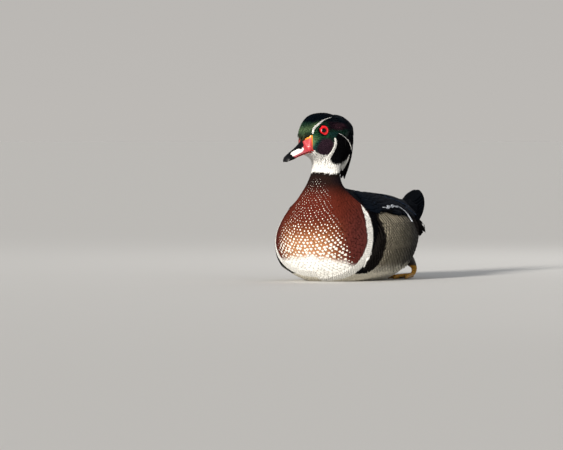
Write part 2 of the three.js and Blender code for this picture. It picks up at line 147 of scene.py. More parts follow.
# The left eye: its centre and radius in millimetres, and its axis in degrees forward and up
EYE = {"x": 82, "y": 11.6, "z": 179, "radius": 7.3, "forward": 30, "up": 4}

# Where the eye opens, as x, z and radius seen from the side
EYE_HOLE = (84.6, 179.3, 5.7)

# Angles from the eye's axis in degrees: the pupil's edge, then where the iris darkens, then its rim
PUPIL, IRIS_DARK, IRIS_RIM = (22, 23.2), (34, 39), (39, 42)

# Markings, as lines over the side of the head and flank: x, z and half width
BROW = np.array([[99.4, 175.6, 0.4], [99.0, 177.2, 0.5], [98.3, 179.9, 0.65], [96.8, 182.1, 0.8],
                 [94.4, 184.4, 0.8], [91.4, 186.9, 0.65], [88.6, 188.9, 0.45], [85.4, 190.9, 0.3],
                 [81.2, 192.4, 0.15], [75, 194.1, 0.02], [70, 194.8, 0.02]])
NAPE = np.array([[62.8, 176, 0.05], [58.4, 174.9, 0.1], [53.6, 172.2, 0.15], [46.2, 168.9, 0.15],
                 [41.2, 164.2, 0.15], [38.3, 161.0, 0.1], [36.2, 156.8, 0.05]])
COLLAR = np.array([[48.6, 135.4, 3.0], [45.5, 138.6, 2.2], [42.9, 141.8, 1.4], [41, 144.8, 0.8],
                   [39.7, 147.9, 0.4], [39.1, 151.4, 0.1]])
CHEEK = np.array([[71.2, 171.0, 0.3], [70.6, 168.1, 0.8], [70.7, 165.2, 1.0], [71.9, 160.5, 1.0],
                  [73.7, 155.9, 1.1], [75.5, 151.7, 1.3], [77, 147.6, 2.0]])
FLANK_TOP = np.array([[36, 86, 0.2], [29, 84.8, 0.5], [23, 87.2, 0.7], [16, 86.2, 0.6], [9, 87.6, 0.7],
                      [2, 86, 0.5], [-4, 86.2, 0.3], [-10, 83.6, 0.15], [-15, 80.2, 0.1], [-19, 75, 0.1],
                      [-22, 69, 0.05]])
FLANK_LINE = np.array([[38, 82.6, 0.6], [31, 81.4, 0.9], [24, 83.4, 0.9], [17, 82.6, 1.0], [10, 84, 1.0],
                       [3, 82, 0.9], [-4, 82.2, 0.6]])

# The white throat's upper and lower edges: x and z
THROAT_TOP = np.array([[36, 150], [41.2, 145.5], [45.5, 142], [52, 140.4], [59.8, 139.4], [67, 138.4],
                       [71.8, 141], [74.3, 145.4], [75.4, 150.4], [80.7, 150.2], [86.5, 151], [91.8, 153.3],
                       [96.8, 156.2], [98.4, 155.6], [104, 155]])
THROAT_LOW = np.array([[36, 147.5], [41, 142.5], [43.7, 137.2], [46.9, 132.9], [52, 131.2], [58, 129.8],
                       [66.3, 128.4], [77.6, 128.1], [82, 129.4], [86, 130]])

# Half width along a feather, from its root to its tip
PROFILES = {
    "round": [(0, 0.42), (0.3, 0.85), (0.55, 1), (0.8, 0.86), (0.93, 0.55), (1, 0.16)],
    "blunt": [(0, 0.5), (0.3, 0.9), (0.6, 1), (0.86, 0.95), (0.96, 0.62), (1, 0.25)],
    "plume": [(0, 0.5), (0.25, 0.95), (0.5, 1), (0.75, 0.72), (0.92, 0.35), (1, 0.06)],
}

# The left leg's line, then the tips of its toes and their root as x and y
LIMB = np.array([(-76, 26, 30), (-88, 28, 22), (-98, 29.5, 13), (-96, 30, 6.5), (-88, 30.5, 3)])
TOES = ((-52, 21), (-43, 33), (-49, 45.5))
HEEL = (-90, 31)

# Plain surfaces: roughness, clear coat, grain and the grain's scale
SURFACES = {
    "skin": (0.8, 0.0, 0.6, 900.0),
    "horn": (0.42, 0.05, 0.12, 500.0),
    "eye": (0.2, 0.35, 0.0, 900.0),
    "lid": (0.45, 0.2, 0.2, 900.0),
    "foot": (0.5, 0.15, 0.5, 700.0),
}

# Colours that the panel doesn't hold
DARK_BROWN = (0.012, 0.008, 0.007)
BLUISH_WHITE = (0.72, 0.76, 0.82)
WISP = (0.006, 0.005, 0.005)
MOUTH_RED = (0.30, 0.03, 0.02)
THIGH_BROWN = (0.02, 0.014, 0.012)
WEB_BROWN = (0.025, 0.018, 0.014)

# Millimetres in a metre, the sides of the bird with their signs across it, the distance between rows of
# feathers as a share of their spacing, and the places at which a row is measured from the belly to the back
MM = 1000
SIDES = (("left", 1), ("right", -1))
ROW_SHARE = 0.82
OUTWARD = 240

# Places that are tried for the head's feathers, and the steps to a cell's neighbours
TRIED = 260000
AROUND = tuple(itertools.product((-1, 0, 1), repeat=3))


def hue(name):
    """A colour as the panel holds it."""
    return np.array(getattr(bpy.context.scene.duck_colours, name))


def sizes():
    """The sizes as the panel holds them."""
    return bpy.context.scene.duck_sizes


def interp(x, pairs):
    """A value between the given (place, value) pairs."""
    table = np.array(sorted(pairs), float)
    return np.interp(x, table[:, 0], table[:, 1])


def on_line(x, table):
    """The second column of a table at x."""
    return np.interp(x, table[:, 0], table[:, 1])


def ramp(x, low, high):
    """0 below low, 1 above high and smooth between."""
    t = np.clip((np.asarray(x, float) - low) / (high - low), 0, 1)
    return t * t * (3 - 2 * t)


def grid(first, second):
    """Two grids from the values along their sides."""
    return np.meshgrid(first, second, indexing="ij")


def circle(count, start=-math.pi):
    """Angles once round."""
    return np.linspace(start, start + 2 * math.pi, count, endpoint=False)


def row_at(table, u):
    """Smooth rows between the rows of a table, by the Catmull-Rom rule."""
    u = np.asarray(u, float)
    within = np.clip(u, 0, len(table) - 1)
    i = np.clip(np.floor(within).astype(int), 0, len(table) - 2)
    t = (within - i)[..., None]
    a, b, c, d = (table[np.clip(i + k, 0, len(table) - 1)] for k in (-1, 0, 1, 2))
    start = (c - a) / 2
    end = (d - b) / 2
    rise = c - b
    smooth = b + start * t + (3 * rise - 2 * start - end) * t**2 + (start + end - 2 * rise) * t**3
    return smooth + rise * (u - within)[..., None]


def turn(points, share=1.0):
    """Turns points with the head, about the upright line through the neck."""
    angle = math.radians(HEAD_TURN) * np.asarray(share)
    c, s = np.cos(angle), np.sin(angle)
    x = points[..., 0] - NECK_AXIS
    y = points[..., 1]
    return np.stack([x * c - y * s + NECK_AXIS, x * s + y * c, points[..., 2]], -1)


def straight(u, a):
    """The body's surface before the head is turned: u along the stations, angle from the back line."""
    u, a = np.broadcast_arrays(u, a)
    row = row_at(STATIONS, u)
    c = np.cos(a)
    s = np.sin(a)
    power = 2 / np.where(c > 0, row[..., 6], row[..., 7])
    reach = np.abs(c)**power
    middle = row[..., 5]
    down = np.where(c > 0, middle * (1 - reach), middle + (1 - middle) * reach)
    side = np.sign(s) * row[..., 4] * np.abs(s)**power
    x = row[..., 0] + (row[..., 2] - row[..., 0]) * down
    z = row[..., 1] + (row[..., 3] - row[..., 1]) * down
    lores = 2.6 * np.exp(-((x - 91) / 4.6)**2 - ((z - 178.6) / 6.5)**2)
    return np.stack([x, side * (1 - lores / 16), z], -1)


def body(u, a):
    """The body's surface with the head turned."""
    u, a = np.broadcast_arrays(u, a)
    return turn(straight(u, a), ramp(u, TURN_FROM, TURN_TO))


def crest_straight(u, a):
    """The crest's outside before the head's turn: u from the crown to the tips, angle from its back edge."""
    u, a = np.broadcast_arrays(u, a)
    k = u * (len(CREST) - 1)
    row = row_at(CREST, k)
    step = row_at(CREST, k + 0.05)[..., :2] - row_at(CREST, k - 0.05)[..., :2]
    step = step / np.linalg.norm(step, axis=-1, keepdims=True)
    depth = row[..., 2] * (1 - np.cos(a))
    x = row[..., 0] - step[..., 1] * depth
    return np.stack([x, -row[..., 3] * np.sin(a), row[..., 1] + step[..., 0] * depth], -1)


def crest_down_straight(u, a):
    """The crest before the turn, counted from its tips, so that feathers point down it."""
    return crest_straight(1 - np.asarray(u), -np.asarray(a))


def crest_down(u, a):
    """The crest's outside counted from its tips."""
    return turn(crest_down_straight(u, a))


def rear(u, a):
    """The top of the folded wings: u is x / 100, the angle in degrees is millimetres from the midline."""
    u, a = np.broadcast_arrays(u, a)
    x = u * 100
    row = row_at(REAR, np.interp(x, REAR[:, 0], np.arange(len(REAR))))
    side = np.degrees(a)
    return np.stack([x, side, row[..., 1] - side**2 / (2 * row[..., 2])], -1)


def fan(u, a):
    """The tail's top: u from its tips to its root, angle across the fan, positive to the left."""
    u, a = np.broadcast_arrays(1 - np.asarray(u), -np.asarray(a))
    height = 80.5 + 24.0 * np.maximum(u, 0)**1.1 - 24 * (1 - np.cos(a))
    return np.stack([-104 - 51 * u, -np.sin(a) * (11 + 14 * u), height], -1)


def vent(u, a):
    """Below the tail, facing down: u from the tips to the vent."""
    u, a = np.broadcast_arrays(1 - np.asarray(u), -np.asarray(a))
    side = np.sin(a) * (13.5 + 3.5 * u)
    return np.stack([-118 - 27 * u, side, 69 - 14 * np.maximum(u, 0)**1.3 + 0.016 * side**2], -1)


SHEETS = {"body": body, "crest": crest_down, "rear": rear, "fan": fan, "vent": vent}


def normals(sheet, u, a):
    """The outward direction of a sheet."""
    e = 0.004
    along = sheet(u + e, a) - sheet(u - e, a)
    around = sheet(u, a + e) - sheet(u, a - e)
    n = np.cross(along, around)
    return n / np.maximum(np.linalg.norm(n, axis=-1, keepdims=True), 1e-9)


def over(sheet, u, a, lift):
    """Points above a sheet."""
    return sheet(u, a) + normals(sheet, u, a) * np.broadcast_to(lift, u.shape)[..., None]


def reach_of(sheet, u, a):
    """Millimetres for each unit along and each radian around a sheet."""
    e = 0.01
    along = np.linalg.norm(sheet(u + e, a) - sheet(u - e, a), axis=-1) / (2 * e)
    around = np.linalg.norm(sheet(u, a + e) - sheet(u, a - e), axis=-1) / (2 * e)
    return np.maximum(along, 0.5), np.maximum(around, 0.5)


def frame_shift():
    """Where the body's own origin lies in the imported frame, found from the two eyes."""
    boxes = [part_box(f"eye_{side}") for side, _ in SIDES]
    middle = sum(((low + high) / 2 for low, high in boxes), Vector()) / 2
    return np.array(middle) * MM - turn(np.array([EYE["x"], 0.0, EYE["z"]]))


SHIFT = frame_shift()


def to_line(x, z, line):
    """Distance from a line of (x, z, half width) rows, less its half width: negative inside the mark."""
    best = np.full(np.shape(x), 1e3)
    for (x0, z0, w0), (x1, z1, w1) in zip(line[:-1], line[1:]):
        dx, dz = x1 - x0, z1 - z0
        t = np.clip(((x - x0) * dx + (z - z0) * dz) / (dx * dx + dz * dz), 0, 1)
        best = np.minimum(best, np.hypot(x - x0 - t * dx, z - z0 - t * dz) - (w0 + (w1 - w0) * t))
    return best


def ripple(points, scale, seed=0):
    """A cheap smooth random field between -1 and 1."""
    p = points / scale + seed * 7.31
    x, y, z = p[..., 0], p[..., 1], p[..., 2]
    return (np.sin(x * 1.7 + 2.1 * np.sin(y * 1.3 + seed)) + np.sin(y * 2.3 + 1.7 * np.sin(z * 1.1)) +
            np.sin(z * 1.9 + 1.9 * np.sin(x * 1.5 + 2 * seed))) / 3


def mix(base, colour, amount):
    """Blends a colour into an array of colours."""
    return base + (np.asarray(colour, float) - base) * np.asarray(amount)[..., None]


def layered(ground, points, layers):
    """A ground colour at every point, with (colour, amount) layers over it."""
    tint = np.broadcast_to(np.asarray(ground), points.shape)
    for colour, amount in layers:
        tint = mix(tint, colour, amount)
    return tint


def patch(x, z, centre, radii):
    """1 in the middle of an oval seen from the side, 0 at its edge and negative outside."""
    return 1 - np.hypot((x - centre[0]) / radii[0], (z - centre[1]) / radii[1])


def paint_head(p):
    """The head's markings at points before the turn, and its gloss."""
    x, y, z = p[..., 0], np.abs(p[..., 1]), p[..., 2]
    n = ripple(p, 3.0)
    teal_line = ramp(z, 170, 174) * (1 - ramp(z, 176, 179)) * ramp(x, 60, 66) * (1 - ramp(x, 76, 82)) * 0.8
    # Painted sheen: a bright green band over the forehead, on the head's own iridescent green
    sheen_band = 181 + (100.5 - x) * 0.62
    roof = interp(x, [(40, 187), (60, 189.5), (75, 191.5), (86, 191.5), (96, 189)])
    edge = interp(z, [(138, 74), (146, 74), (150, 75), (160, 70), (167, 68), (173, 68), (177, 62),
                      (186, 40)])
    dark = (x < edge) & (z < 176.5 - 0.26 * (62 - x) + 0.4 * n)
    low = on_line(x, THROAT_LOW)
    white = (to_line(x, z, CHEEK) < -0.3) | (to_line(x, z, COLLAR) < -0.3)
    white |= (z < on_line(x, THROAT_TOP) + 0.3 * n) & (z > low + 0.5 * n) & (x > 43)
    tint = layered((0.008, 0.030, 0.020), p, (
        (hue("green"), ramp(patch(x, z, (88, 174), (15, 13)), 0, 0.5)),
        ((0.070, 0.150, 0.065), ramp(x + n, 89, 95) * ramp(z + n, 157, 163) * (1 - ramp(z, 170, 175))),
        (hue("teal"), ramp(patch(x, z, (85, 159), (15, 13)), 0, 0.25)),
        (hue("teal"), teal_line),
        (hue("mauve"), ramp(patch(x, z, (82.5, 159.5), (13, 12.5)) + 0.05 * n, 0, 0.3)),
        ((0.020, 0.016, 0.009), ramp(x + 0.5 * n, 99, 102) * (1 - ramp(z + n, 172, 178)) * 0.9),
        (hue("moss_sheen"), np.exp(-((z - sheen_band - 0.6 * n) / 3.4)**2) * ramp(x, 84, 92)),
        ((0.012, 0.005, 0.009), ramp(z + n, 179, 182) * (1 - ramp(x, 74, 80))),
        (hue("temple"), ramp(patch(x, z, (60, 185), (13, 7)) + 0.1 * ripple(p, 1.3, 5), 0, 0.6)),
        (hue("crown"), ramp(z + 0.1 * y + 0.6 * n - roof, -1.5, 2)),
        ((0.002, 0.003, 0.005), (1 - ramp(x, 42, 54)) * 0.95),
        (hue("black"), dark),
        (hue("black"), np.hypot((x - 84.9) / 0.96, z - 179.4) < 6.9),
        (hue("white"), white),
    ))
    under = layered(DARK_BROWN, p, ((hue("black"), (1 - ramp(x, 58, 70)) * 0.9),))
    tint = np.where((z < low)[..., None], under, tint)
    return tint, np.where(white | dark, 0.0, 0.45)


def bar_of(p):
    """How far a place lies in front of the middle of the white bar between breast and flank."""
    line = interp(p[..., 2], [(-5, 82), (20, 80), (40, 76.5), (66, 70.5), (89, 62.5), (110, 58)])
    return p[..., 0] - line - np.where(p[..., 1] < 0, 13.0, 0.0)


def paint_body(p):
    """The body's colours, gloss and spot size: breast, bars, flanks, back, belly and vent."""
    x, y, z = p[..., 0], np.abs(p[..., 1]), p[..., 2]
    n = ripple(p, 6.0)
    fine = ripple(p, 2.2, 3)
    bar = bar_of(p)
    nape = interp(z, [(60, 40), (90, 50), (105, 66), (116, 75), (130, 78)])
    hind = ramp(nape - x + 2 * n, -6, 12)
    belly = ramp(interp(y, [(0, 32), (30, 28), (50, 20), (75, 12)]) - z + 3 * n, -4, 4)
    side = z < 94
    flank = (bar < -3.8) & (z < 90)
    width = interp(z, [(0, 14), (20, 20), (40, 21), (60, 17.5), (74, 12), (82, 14), (84, 70)])
    white_half = interp(z, [(0, 6), (40, 3.9), (66, 3.7), (84, 2.6), (91, 0)])
    back_edge = interp(x, [(-130, 40), (-95, 48), (-70, 52), (-45, 66), (-20, 80), (0, 84), (30, 82),
                           (60, 84)])
    back = ramp(z - back_edge + n, -1, 1)
    rear_edge = interp(z, [(8, 90), (25, 78), (41, 64), (55, 48), (70, 30), (82, 22)])
    rear_end = ramp(-x - rear_edge + 2 * n, -2, 3)
    tint = layered(hue("chestnut"), p, (
        # Painted shade: the sides of the breast turn to a darker plum copy of the chestnut
        (hue("breast_side_shade"), ramp(y, 30, 60) * 0.6),
        # Painted light: the lower front of the breast in a brighter, more orange copy of the chestnut
        ((0.25, 0.085, 0.032), (1 - ramp(z, 44, 80)) * (1 - ramp(y, 26, 50)) * 0.9),
        ((0.60, 0.32, 0.16), (1 - ramp(z, 40, 64)) * (1 - ramp(y, 16, 40)) * 0.5),
        (DARK_BROWN, ramp(z, 97, 119) * 0.95),
        ((0.012, 0.008, 0.012), hind * ramp(z, 84, 98)),
        (hue("white"), belly * (bar > 0)),
        (hue("buff"), flank),
        # Painted shade: the rear of the flanks darker and bluer, where they turn from the light
        (hue("flank_shade"), flank * ramp(40 - x - 0.5 * (z - 60) + 6 * n, 10, 80) * 0.85),
        ((0.70, 0.66, 0.56), flank * ramp(20 - z + 3 * n, -4, 4)),
        (hue("black"), (bar < -3.6 + 0.3 * fine) & (bar > -3.6 - width + 1.2 * fine) & side & (z > 10)),
        (hue("white"), (np.abs(bar + 0.3 * fine) < white_half) & side),
        ((0.003, 0.004, 0.006), back * (x < 62 + n)),
        ((0.010, 0.008, 0.008), rear_end),
        (hue("maroon"), ramp(patch(x, z, (-92, 62), (12, 11)), 0, 0.5) * ramp(y, 8, 20) * 0.8),
    ))
    edge = interp(z, [(20, 52), (40, 50), (66, 43), (95, 28), (107, 22), (122, 15), (135, 12)])
    spot = (1 - ramp(y + 2 * n, edge - 9, edge)) * (bar > 5) * (1 - hind) * (1 - ramp(z, 124, 133))
    size = interp(z, [(25, 1.0), (40, 0.98), (52, 0.70), (64, 0.48), (76, 0.34), (90, 0.29), (105, 0.26),
                      (130, 0.22)])
    gloss = 0.3 * np.maximum(back * (x < 62), rear_end) + 0.1
    return tint, np.where((tint[..., 0] > 0.3), 0.0, gloss), spot * size * (1 - belly)


def paint(sheet_name, u, a):
    """Colour, gloss and spot size at places on the body or the crest."""
    if sheet_name == "crest":
        tint, gloss = paint_head(crest_down_straight(u, a))
        return tint, gloss, np.zeros(tint.shape[:-1])
    p = straight(u, a)
    tint, gloss, spot = paint_body(p)
    head_tint, head_gloss = paint_head(p)
    upper = (u > THROAT) & (p[..., 2] > on_line(p[..., 0], THROAT_LOW) - 4)
    tint = np.where(upper[..., None], head_tint, tint)
    return tint, np.where(upper, head_gloss, gloss), np.where(upper, 0, spot)


def make_object(name, points, quads, tris, maps, attributes):
    """A smooth mesh object from arrays, its points in the duck's millimetres."""
    mesh = bpy.data.meshes.new(name)
    quads = np.asarray(quads, np.int64).reshape(-1, 4)
    tris = np.asarray(tris, np.int64).reshape(-1, 3)
    loops = np.concatenate([quads.ravel(), tris.ravel()])
    starts = np.concatenate([np.arange(len(quads)) * 4, len(quads) * 4 + np.arange(len(tris)) * 3])
    co = (np.asarray(points, float).reshape(-1, 3) + SHIFT) / MM
    co[:, 2] = np.maximum(co[:, 2], 0.00005)
    mesh.vertices.add(len(co))
    mesh.vertices.foreach_set("co", co.astype(np.float32).ravel())
    mesh.loops.add(len(loops))
    mesh.loops.foreach_set("vertex_index", loops.astype(np.int32))
    mesh.polygons.add(len(starts))
    mesh.polygons.foreach_set("loop_start", starts.astype(np.int32))
    mesh.update(calc_edges=True)
    for key, values in maps.items():
        mesh.uv_layers.new(name=key).data.foreach_set("uv", np.asarray(values, np.float32)[loops].ravel())
    for key, values in attributes.items():
        values = np.asarray(values, np.float32)
        if values.ndim == 2:
            rgba = np.concatenate([values, np.ones((len(values), 1), np.float32)], 1)
            mesh.attributes.new(key, "FLOAT_COLOR", "POINT").data.foreach_set("color", rgba.ravel())
        else:
            mesh.attributes.new(key, "FLOAT", "POINT").data.foreach_set("value", values.ravel())
    mesh.shade_smooth()
    made = bpy.data.objects.new(name, mesh)
    bpy.context.scene.collection.objects.link(made)
    return made


def finish_piece(piece, surface, nodes=()):
    """Gives a piece its material, its body and the solids that it stands for."""
    piece.data.materials.append(material(surface))
    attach(piece, "root")
    if nodes:
        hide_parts(*nodes)


def add_piece(name, shape, tint, surface, nodes=(), bake=(0.5, 0.5)):
    """A painted piece from its (points, quads, triangles)."""
    points, quads, tris = shape
    maps = {"OFBake": np.broadcast_to(bake, (len(points), 2))}
    made = make_object(name, points, quads, tris, maps, {"tint": np.broadcast_to(tint, (len(points), 3))})
    finish_piece(made, surface, nodes)


def grid_quads(rows, cols):
    """Quads of a grid of points, wrapped round."""
    r = np.arange(rows - 1)[:, None]
    c = np.arange(cols)[None]
    after = (c + 1) % cols
    quads = [r * cols + c, r * cols + after, (r + 1) * cols + after, (r + 1) * cols + c]
    return np.stack(quads, -1).reshape(-1, 4)


def capped(points):
    """A grid of rings with a fan at each end: points, quads and triangles."""
    rows, cols = points.shape[:2]
    flat = np.concatenate([points.reshape(-1, 3), [points[0].mean(0), points[-1].mean(0)]])
    c = np.arange(cols)
    after = (c + 1) % cols
    start = (rows - 1) * cols
    first = np.stack([np.full(cols, rows * cols), after, c], -1)
    last = np.stack([np.full(cols, rows * cols + 1), start + c, start + after], -1)
    return flat, grid_quads(rows, cols), np.concatenate([first, last])


def with_ends(values, ends=None):
    """A grid's values as one list, with those of the two caps."""
    ends = [values[0, 0], values[-1, 0]] if ends is None else ends
    return np.concatenate([values.reshape(-1, values.shape[-1]), ends])


def merged(shapes):
    """Several (points, quads, triangles) as one."""
    points, quads, tris, base = [], [], [], 0
    for some_points, some_quads, some_tris in shapes:
        points.append(some_points)
        quads.append(some_quads + base)
        tris.append(some_tris + base)
        base += len(some_points)
    return np.concatenate(points), np.concatenate(quads), np.concatenate(tris)


def feather_faces(rows, cols):
    """Quads and triangles of one closed feather."""
    def low(r, c):
        return r * cols + c if c in (0, cols - 1) else rows * cols + r * (cols - 2) + c - 1

    quads = []
    for r, c in itertools.product(range(rows - 1), range(cols - 1)):
        quads.append([r * cols + c, r * cols + c + 1, (r + 1) * cols + c + 1, (r + 1) * cols + c])
        quads.append([low(r, c), low(r + 1, c), low(r + 1, c + 1), low(r, c + 1)])
    tris = []
    for r, way in ((0, 1), (rows - 1, -1)):
        for c in range(cols - 1):
            ring = list(dict.fromkeys([r * cols + c, low(r, c), low(r, c + 1), r * cols + c + 1]))[::way]
            (quads if len(ring) == 4 else tris).append(ring)
    return np.array(quads), np.array(tris).reshape(-1, 3)


class Coat:
    """Feathers gathered into one mesh, with the maps and colours that their material reads."""

    def __init__(self):
        self.shapes = []
        self.maps = {"OFBake": [], "Feather": []}
        self.attributes = {"tint": [], "gloss": [], "spot": [], "bars": [], "edge": [], "size": []}

    def lay(self, name, u, a, heading, length, half, lift=0.0, rise=1.2, sink=0.8, roll=0.0, rows=4, cols=3,
            shape="round", camber=0.12, thick=0.25, curl=0.0, tint=None, gloss=None, spot=None, bars=0.0,
            edge=0.0, vary=0.0, shade=0.06):
        """Lays feathers on a sheet from their roots, pointing back along it, turned by heading."""
        sheet = SHEETS[name]
        count = len(u)
        u, a, heading, length, half, lift, rise, sink, roll, curl = (
            np.broadcast_to(np.asarray(v, float), (count,))[:, None, None]
            for v in (u, a, heading, length, half, lift, rise, sink, roll, curl))
        t = np.linspace(0, 1, rows)[None, :, None]
        x = np.linspace(-1, 1, cols)[None, None, :]
        along, around = reach_of(sheet, u, a)
        along = np.maximum(along, 90) if name == "crest" else along
        width = half * interp(t, PROFILES[shape])
        way = heading + curl * t
        uu = u - length * np.cos(way) * t / along + x * width * np.sin(way) / along
        aa = a + length * np.sin(way) * t / around + x * width * np.cos(way) / around
        height = lift + rise * t**1.3 - sink * (1 - ramp(t, 0, 0.25)) + roll * x * width
        height = height - camber * half * x**2
        out = normals(sheet, uu, aa)
        top = sheet(uu, aa) + out * np.broadcast_to(height, uu.shape)[..., None]
        depth = (thick * (1 - 0.5 * t) * np.ones_like(uu))[:, :, 1:-1, None]
        under = top[:, :, 1:-1] - out[:, :, 1:-1] * depth
        points = np.concatenate([top.reshape(count, -1, 3), under.reshape(count, -1, 3)], 1)

        def both(values):
            values = np.broadcast_to(values, uu.shape)
            return np.concatenate([values.reshape(count, -1), values[:, :, 1:-1].reshape(count, -1)], 1)

        if tint is None:
            found, shine, marks = paint(name, uu, aa)
        else:
            found = np.broadcast_to(np.asarray(tint, float), uu.shape + (3,))
            shine, marks = 0.5, np.zeros(uu.shape)
        found = found * np.random.default_rng(count + 1).uniform(1 - shade, 1 + shade, (count, 1, 1, 1))
        shine = shine if gloss is None else gloss
        if spot is None:
            luck = np.random.default_rng(count).uniform(1 - vary, 1 + vary, (count, 1, 1))
            spot = marks.mean(axis=(1, 2), keepdims=True) * luck
        across = both((x + 1) / 2)
        down = both(t)
        root_u = np.clip(u[:, 0, 0] / FACE, 0, 1) if name == "body" else (u[:, 0, 0] * 0.4 + 0.5) % 1
        root_a = (a[:, 0, 0] / (2 * math.pi) + 0.5) % 1
        root = np.stack([0.02 + 0.96 * root_u, 0.02 + 0.96 * root_a], -1)
        within = np.stack([(across - 0.5) * 0.003, (down - 0.5) * 0.003], -1)
        self.maps["OFBake"].append(root[:, None] + within)
        self.maps["Feather"].append(np.stack([across, down], -1))
        self.attributes["tint"].append(np.stack([both(found[..., k]) for k in range(3)], -1))
        for key, value in (("gloss", shine), ("spot", spot), ("bars", bars), ("edge", edge), ("size", half)):
            self.attributes[key].append(both(value))
        starts = (np.arange(count) * points.shape[1])[:, None, None]
        quads, tris = feather_faces(rows, cols)
        quads, tris = (quads + starts).reshape(-1, 4), (tris + starts).reshape(-1, 3)
        self.shapes.append((points.reshape(-1, 3), quads, tris))

    def build(self, name, slot, nodes=()):
        """Joins the feathers into one piece."""
        maps = {key: np.concatenate([v.reshape(-1, 2) for v in values]) for key, values in self.maps.items()}
        attributes = {key: np.concatenate([v.reshape(-1, *v.shape[2:]) for v in values])
                      for key, values in self.attributes.items()}
        made = make_object(name, *merged(self.shapes), maps, attributes)
        finish_piece(made, "plumage", nodes)


def scatter(sheet, low, high, pitch, keep, seed):
    """Roots spread evenly over a stretch of a sheet, about pitch(u) apart, where keep(u, a) is true."""
    rng = np.random.default_rng(seed)
    u = rng.uniform(low[0], high[0], TRIED)
    a = rng.uniform(low[1], high[1], TRIED)
    along, around = reach_of(sheet, u, a)
    want = pitch(u)
    share = along * around / want**2
    chosen = (rng.uniform(0, 1, TRIED) < share / np.percentile(share, 99.5)) & keep(u, a)
    u, a, want = u[chosen], a[chosen], want[chosen]
    p = sheet(u, a)
    taken = {}
    kept = []
    for i, key in enumerate(map(tuple, np.floor(p / want.max()).astype(int))):
        cells = (taken.get((key[0] + x, key[1] + y, key[2] + z), ()) for x, y, z in AROUND)
        near = itertools.chain.from_iterable(cells)
        if not any(((p[i] - p[j])**2).sum() < want[i] * want[i] for j in near):
            taken.setdefault(key, []).append(i)
            kept.append(i)
    return u[kept], a[kept], want[kept]


def bricks(low, high, pitch, seed):
    """Roots in rows like bricks on the body, from the belly line outward, fewer where the rows crowd."""
    rng = np.random.default_rng(seed)
    fine = np.linspace(low, high, 600)
    along, _ = reach_of(body, fine, math.pi)
    steps = np.cumsum(along * np.gradient(fine) / (ROW_SHARE * pitch(fine)))
    out = np.linspace(0, math.pi, OUTWARD + 1)
    found = []
    for k in range(int(steps[-1])):
        u, start, end = (float(np.interp(k + part, steps, fine)) for part in (0.5, 0, 1))
        p = float(pitch(u))
        line = body(u, math.pi - out)
        length = np.concatenate([[0], np.cumsum(np.linalg.norm(np.diff(line, axis=0), axis=1))])
        local = reach_of(body, u, math.pi - out)[0] * (end - start) / (ROW_SHARE * p)
        level = np.clip(np.floor(-np.log2(np.maximum(local, 0.01)) + 0.35), 0, 4).astype(int)
        for m in range(5):
            if k % (2**m):
                continue
            angle = np.interp(np.arange(0.5 * ((k >> m) & 1) * p, length[-1], p), length, out)
            place = np.clip((angle / math.pi * OUTWARD).astype(int), 0, OUTWARD)
            angle = angle[level[place] == m]
            for side, some in ((1, angle), (-1, angle[angle > 1e-6])):
                found.append([np.full(len(some), u), side * (math.pi - some), np.full(len(some), p)])
    u, a, p = np.concatenate(found, 1)
    along, around = reach_of(body, u, a)
    u = u + rng.uniform(-0.1, 0.1, len(u)) * p / along
    a = a + rng.uniform(-0.1, 0.1, len(u)) * p / around
    return u, a, p


def even(pitch):
    """The same spacing everywhere."""
    return lambda u: np.full(np.shape(u), pitch)


class Nodes:
    """Short ways to write a node tree."""

    def __init__(self, tree):
        self.tree = tree

    def put(self, value, socket):
        """Links a socket, or sets its value."""
        if isinstance(value, bpy.types.NodeSocket):
            self.tree.links.new(value, socket)
        else:
            socket.default_value = (*value, 1) if socket.type == "RGBA" else value

    def add(self, kind, inputs=(), **settings):
        """A node with its settings and its inputs."""
        node = self.tree.nodes.new(kind)
        for key, value in settings.items():
            setattr(node, key, value)
        for key, value in dict(inputs).items():
            self.put(value, node.inputs[key])
        return node

    def math(self, operation, *values):
        """The result of one operation."""
        return self.add("ShaderNodeMath", enumerate(values), operation=operation).outputs[0]

    def times(self, first, *others):
        """A product."""
        for other in others:
            first = self.math("MULTIPLY", first, other)
        return first

    def plus(self, first, second):
        """A sum."""
        return self.math("ADD", first, second)

    def less(self, first, second):
        """A difference."""
        return self.math("SUBTRACT", first, second)

    def attribute(self, name, output="Fac"):
        """A value that the mesh holds."""
        return self.add("ShaderNodeAttribute", attribute_name=name).outputs[output]

    def blend(self, kind, amount, first, second):
        """Two colours blended."""
        node = self.add("ShaderNodeMix", {0: amount, 6: first, 7: second}, data_type="RGBA", blend_type=kind)
        return node.outputs[2]

    def step(self, value, low, high):
        """0 below low, 1 above high and smooth between."""
        inputs = {0: value, 1: low, 2: high}
        return self.add("ShaderNodeMapRange", inputs, interpolation_type="SMOOTHSTEP").outputs[0]

    def noise(self, scale, detail=3.0):
        """Noise in the object's own space."""
        node = self.add("ShaderNodeTexNoise", {"Scale": scale, "Detail": detail})
        self.put(self.add("ShaderNodeTexCoord").outputs["Object"], node.inputs["Vector"])
        return node.outputs["Fac"]

    def surface(self, **values):
        """Sets the inputs of the material's shader."""
        for key, value in values.items():
            self.put(value, self.tree.nodes["Principled BSDF"].inputs[key.replace("_", " ")])

    def bump(self, height, strength, distance):
        """Small relief."""
        inputs = {"Strength": strength, "Distance": distance, "Height": height}
        self.surface(Normal=self.add("ShaderNodeBump", inputs).outputs[0])


def grey(value):
    """A grey colour."""
    return (value, value, value)


